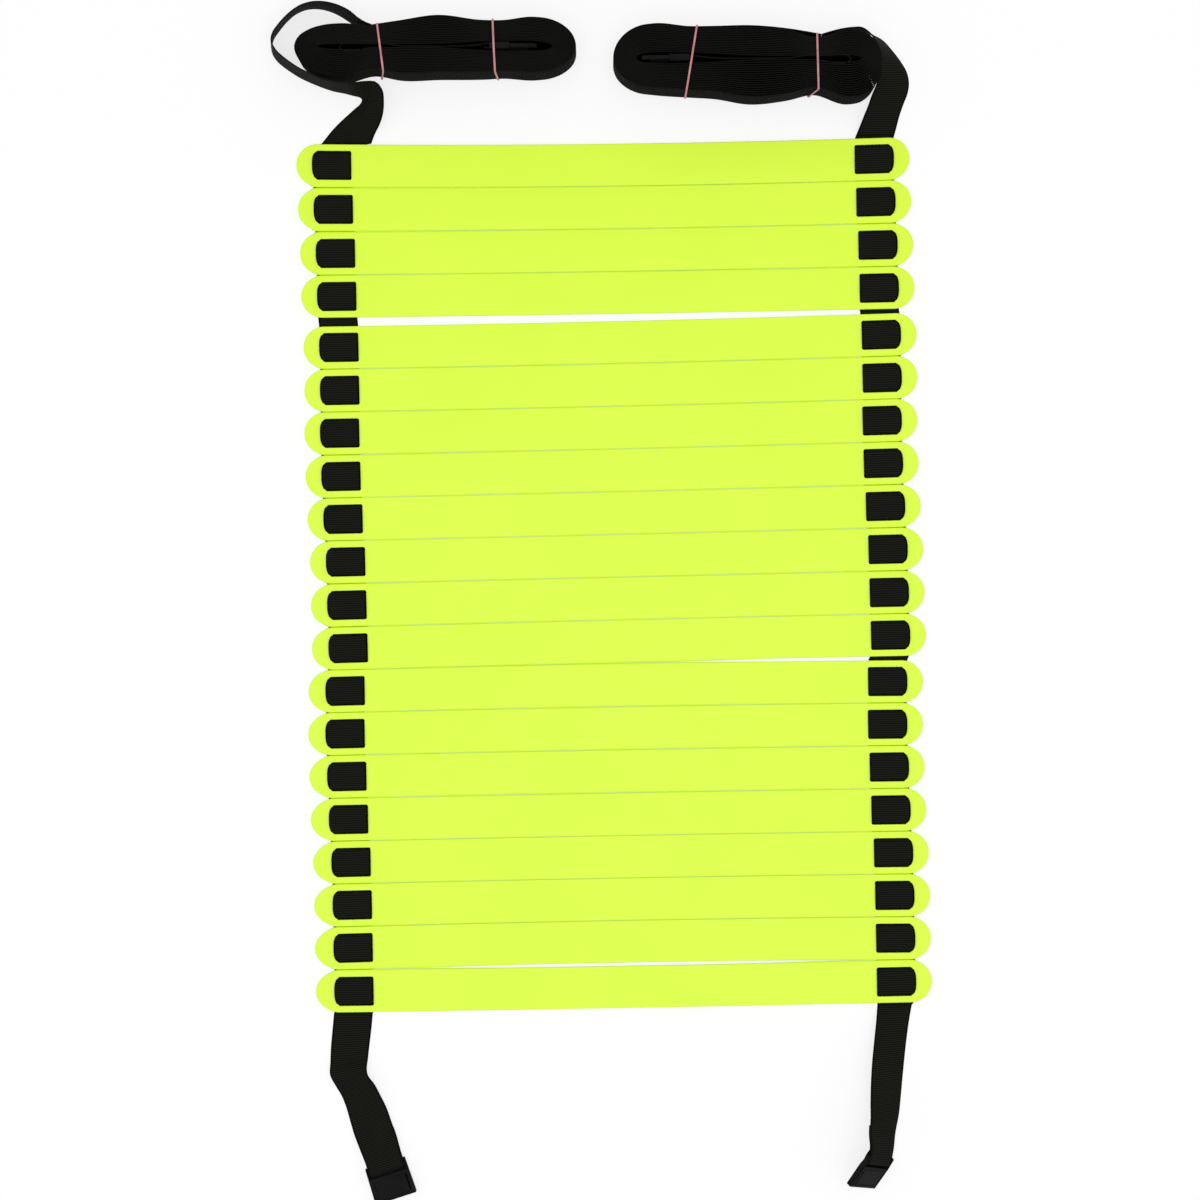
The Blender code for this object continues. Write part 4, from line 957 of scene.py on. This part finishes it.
def makeSocket(word, bar, across, heading, normal):
    # The node's own form, finished: in the bar's frame (u across, v towards the mouth, w through) the sides and rails
    # come in, w = w * (1 - thin * ((|u| / half - 0.5) / 0.5)^1.5) makes a lens of its section, and the lip reaches back.
    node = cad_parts[f"{word}_socket"]
    work = bmesh.new()
    work.from_mesh(node.data)
    bmesh.ops.remove_doubles(work, verts=work.verts, dist=0.000002)
    bmesh.ops.dissolve_limit(work, angle_limit=math.radians(1.5), verts=work.verts, edges=work.edges)
    mesh = bpy.data.meshes.new(f"{word}_socket_body")
    work.to_mesh(mesh)
    work.free()
    turn = np.stack([across, heading, normal])
    points = np.empty(len(mesh.vertices) * 3)
    mesh.vertices.foreach_get("co", points)
    u, v, w = turn @ (points.reshape(-1, 3) - bar).T
    half, inner = socketForm["width"] / 2, socketForm["width"] / 2 - socketForm["sideWall"]
    lip = (np.abs(u) < half - socketForm["rail"] + 0.0008) & (np.abs(v - socketForm["railLength"] / 2) < 0.0010)
    v = np.where(lip, v - socketForm["lipBack"], v)
    picture = np.sign(across[0])
    # painted shade: black plastic fills the left socket's slit, which lies in shadow
    if tails[word]["closedSlit"]:
        u = np.where(np.abs(u * picture + inner) < 0.0001, -picture * (inner - socketForm["slitShut"]), u)
    thin = np.clip((np.abs(u) / half - 0.5) / 0.5, 0, 1) ** 1.5
    onRail = np.abs(u) > half - socketForm["rail"] - 0.0001
    tail = np.clip((socketForm["railFrom"] - v) / socketForm["railOver"], 0, 1) * onRail
    u = u - np.sign(u) * np.where(np.abs(u) > half - 0.0009, socketForm["railIn"] * tail, 0.0)
    mouth = np.clip((v - socketForm["mouthFrom"]) / socketForm["mouthOver"], 0, 1)
    w = w * (1 - socketForm["railThin"] * tail) * (1 - socketForm["thin"] * thin) * (1 - socketForm["mouthThin"] * mouth)
    u = u * socketForm["narrow"]
    points = bar + across * tails[word]["slide"] + np.stack([u, v, w], axis=1) @ turn
    mesh.vertices.foreach_set("co", points.astype(np.float32).ravel())
    mesh.update()
    mesh.shade_smooth()
    sharpFrom = math.radians(socketForm["sharpFrom"])
    mesh.set_sharp_from_angle(angle=sharpFrom)
    piece = newObject(f"{word}_socket_body", mesh)
    rounder = piece.modifiers.new("edges", "BEVEL")
    rounder.width, rounder.segments = socketForm["edge"], 2
    rounder.limit_method, rounder.angle_limit = "ANGLE", sharpFrom
    finishPiece(piece, "buckle", f"{word}_socket", f"{word}_socket")


for word in sideOf:
    makeSocket(word, *makeTail(word))
    for part in ("base", "upper_arm", "lower_arm"):
        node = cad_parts[f"{word}_plug_{part}"]
        node.data.materials.clear()
        node.data.materials.append(skins["buckle"])
print("tails and buckles made")


# Rubber bands: places along the coil in shares of the length named, height over what stands proud
bands = {
    "left_band_1": {"coil": "left", "shares": (-0.6592, -0.5906, -0.6442), "length": 0.0730, "over": 0.0},
    "left_band_2": {"coil": "left", "shares": (1.0641, 1.1115, 1.1450), "length": 0.0420, "over": 0.0040},
    "right_band_1": {"coil": "right", "shares": (0.8798, 1.0452, 1.0472), "length": 0.0508, "over": 0.0020},
    "right_band_2": {"coil": "right", "shares": (-0.6547, -0.6699, -0.5974), "length": 0.0790, "over": 0.0},
}
bandSize = {"width": 0.0016, "thickness": 0.0008, "corner": 0.0014, "plugHalf": 0.0028}


def roundedLoop(corners, radius, steps=5):
    # Each corner becomes an arc that touches both its sides.
    corners = np.array(corners)
    back, ahead = (unit(np.roll(corners, way, axis=0) - corners) for way in (1, -1))
    half = np.arccos(np.clip((back * ahead).sum(1), -1, 1)) / 2
    centre = corners + unit(back + ahead) * (radius / np.sin(half))[:, None]
    first = corners + back * (radius / np.tan(half))[:, None] - centre
    last = corners + ahead * (radius / np.tan(half))[:, None] - centre
    t = np.linspace(0, 1, steps)[None, :, None]
    return (centre[:, None] + unit(first[:, None] * (1 - t) + last[:, None] * t) * radius).reshape(-1, 2)


def makeBand(name):
    band = bands[name]
    coil = coils[band["coil"]]
    middle = planSpot(coil["middle"])
    places = np.array(coil["places"])
    farX, nearTopX, nearFootX = (middle[0] + coil["mirror"] * share * band["length"] for share in band["shares"])
    half, thick = bandSize["width"] / 2, bandSize["thickness"]
    clear = webbing["clear"] + thick / 2

    def reach(table, xs):
        return float(np.interp(coil["mirror"] * (np.array(xs) - middle[0]), places, table).max())

    top = middle[1] + reach(coil["up"], (farX - half, farX + half)) + clear
    if coil["mirror"] * (farX - middle[0]) < places[1] + 0.01:
        top = max(top, planSpot(coil["end"])[1] + halfWeb + clear)
    bottom = middle[1] - reach(coil["down"], (nearTopX - half, nearTopX + half, nearFootX - half, nearFootX + half)) - clear
    low, high = thick / 2, winding["base"] + webbing["width"] + clear
    corners = [(top, low), (top, high), (bottom, high), (bottom, low)]
    if band["over"] > 0:
        corners[2:2] = [(middle[1] + side * bandSize["plugHalf"], high + band["over"]) for side in (1, -1)]
    y, z = roundedLoop(corners, bandSize["corner"]).T
    share = (top - y) / (top - bottom)
    nearX = nearFootX + (nearTopX - nearFootX) * np.minimum(1, z / high)
    line = np.stack([farX + (nearX - farX) * share, y, z], axis=1)
    way = np.roll(line, -1, axis=0) - np.roll(line, 1, axis=0)
    across = np.tile((1.0, 0.0, 0.0), (len(line), 1))
    normal = unit(np.cross(way, across))
    # its section: cos and sin of twelve turns, taken to a low power, make a rectangle with soft corners
    turn = np.radians(np.arange(12) * 30)
    u = np.sign(np.cos(turn)) * np.abs(np.cos(turn)) ** 0.6 * half
    v = np.sign(np.sin(turn)) * np.abs(np.sin(turn)) ** 0.8 * thick / 2
    rings = line[:, None] + across[:, None] * u[None, :, None] + normal[:, None] * v[None, :, None]
    along = np.concatenate([[0.0], np.cumsum(np.linalg.norm(np.diff(line, axis=0, append=line[:1]), axis=1))])
    piece = meshObject(f"{name}_rubber", *carried(rings, np.linspace(0, 2 * (2 * half + thick), len(u) + 1), along, closed=True))
    finishPiece(piece, "band", "coils", name)


for name in bands:
    makeBand(name)
print("bands made")


# Floor, light and camera
stage = {
    "floorSize": 60.0,
    "floorShadeTones": (0.02, 0.98),  # beneath the coils, painted shade, and elsewhere
    "glowShare": 0.75,
    "shadePastEnd": 0.022,  # how far the painted shade on the floor goes past a coil's straight sides, and half its breadth
    "shadeHalf": 0.018,
    "lampSize": 2.4,
    "lampHeight": 2.9,
    "lampAside": -0.35,
    "lampWatts": 26.0,
    "worldStrength": 0.78,
    "cameraHeight": 2.0,
    "pictureWidth": 0.9798,
    "sensor": 36.0,
}


def makeFloor():
    mesh = bpy.data.meshes.new("floor")
    reach = stage["floorSize"] / 2
    mesh.from_pydata([(-reach, -reach, 0), (reach, -reach, 0), (reach, reach, 0), (-reach, reach, 0)], [], [(0, 1, 2, 3)])
    floor = newObject("floor", mesh)
    made, tree, shader = newMaterial("paleFloor", {"Roughness": 0.9, "Specular IOR Level": 0.1})
    calc = calculator(tree)
    glow = tree.nodes.new("ShaderNodeEmission")
    glow.inputs["Color"].default_value = (1, 1, 1, 1)
    glow.inputs["Strength"].default_value = 1.0  # seen directly, this share of the floor is plain white
    rays = tree.nodes.new("ShaderNodeLightPath").outputs
    seen = calc("ADD", calc("ADD", rays["Is Camera Ray"], rays["Is Glossy Ray"]), rays["Is Transmission Ray"], clamp=True)
    parts = tree.nodes.new("ShaderNodeSeparateXYZ")
    tree.links.new(tree.nodes.new("ShaderNodeTexCoord").outputs["Object"], parts.inputs[0])
    clear = 1.0
    for coil in coils.values():  # beneath a coil the floor is painted shade, dark and without glow, as deep as the shade between its turns would be
        radii = (coil["places"][-1] + stage["shadePastEnd"], stage["shadeHalf"])
        middle = planSpot(coil["middle"])
        u, v = (calc("DIVIDE", calc("SUBTRACT", parts.outputs[k], float(middle[k])), radii[k]) for k in (0, 1))
        far = calc("ADD", calc("MULTIPLY", u, u), calc("MULTIPLY", v, v))
        clear = calc("MULTIPLY", clear, calc("GREATER_THAN", far, 1.0))
    # the dark tone and the lost glow under the coils are painted shade
    tree.links.new(spanNode(tree, clear, *stage["floorShadeTones"]), shader.inputs["Base Color"])
    mix = tree.nodes.new("ShaderNodeMixShader")
    share = calc("MULTIPLY", calc("MULTIPLY", seen, stage["glowShare"]), clear)
    for entry, value in zip(mix.inputs, (share, shader.outputs[0], glow.outputs[0])):
        tree.links.new(value, entry)
    tree.links.new(mix.outputs[0], tree.nodes["Material Output"].inputs["Surface"])
    mesh.materials.append(made)


def makeLight():
    lamp = bpy.data.lights.new("softBox", "AREA")
    lamp.shape = "SQUARE"
    lamp.size = stage["lampSize"]
    lamp.energy = stage["lampWatts"]
    newObject("softBox", lamp).location = (0, stage["lampAside"], stage["lampHeight"])
    world = bpy.data.worlds.new("studio")
    world.use_nodes = True
    background = world.node_tree.nodes["Background"]
    background.inputs["Color"].default_value = (1, 1, 1, 1)
    background.inputs["Strength"].default_value = stage["worldStrength"]
    bpy.context.scene.world = world


def makeCamera():
    data = bpy.data.cameras.new("overhead")
    data.sensor_width = stage["sensor"]
    data.lens = stage["sensor"] * stage["cameraHeight"] / stage["pictureWidth"]
    camera = newObject("overhead", data)
    camera.location = (shift[0], shift[1], stage["cameraHeight"])
    bpy.context.scene.camera = camera


makeFloor()
makeLight()
makeCamera()
bpy.context.scene.view_settings.view_transform = "Standard"
print("stage made")
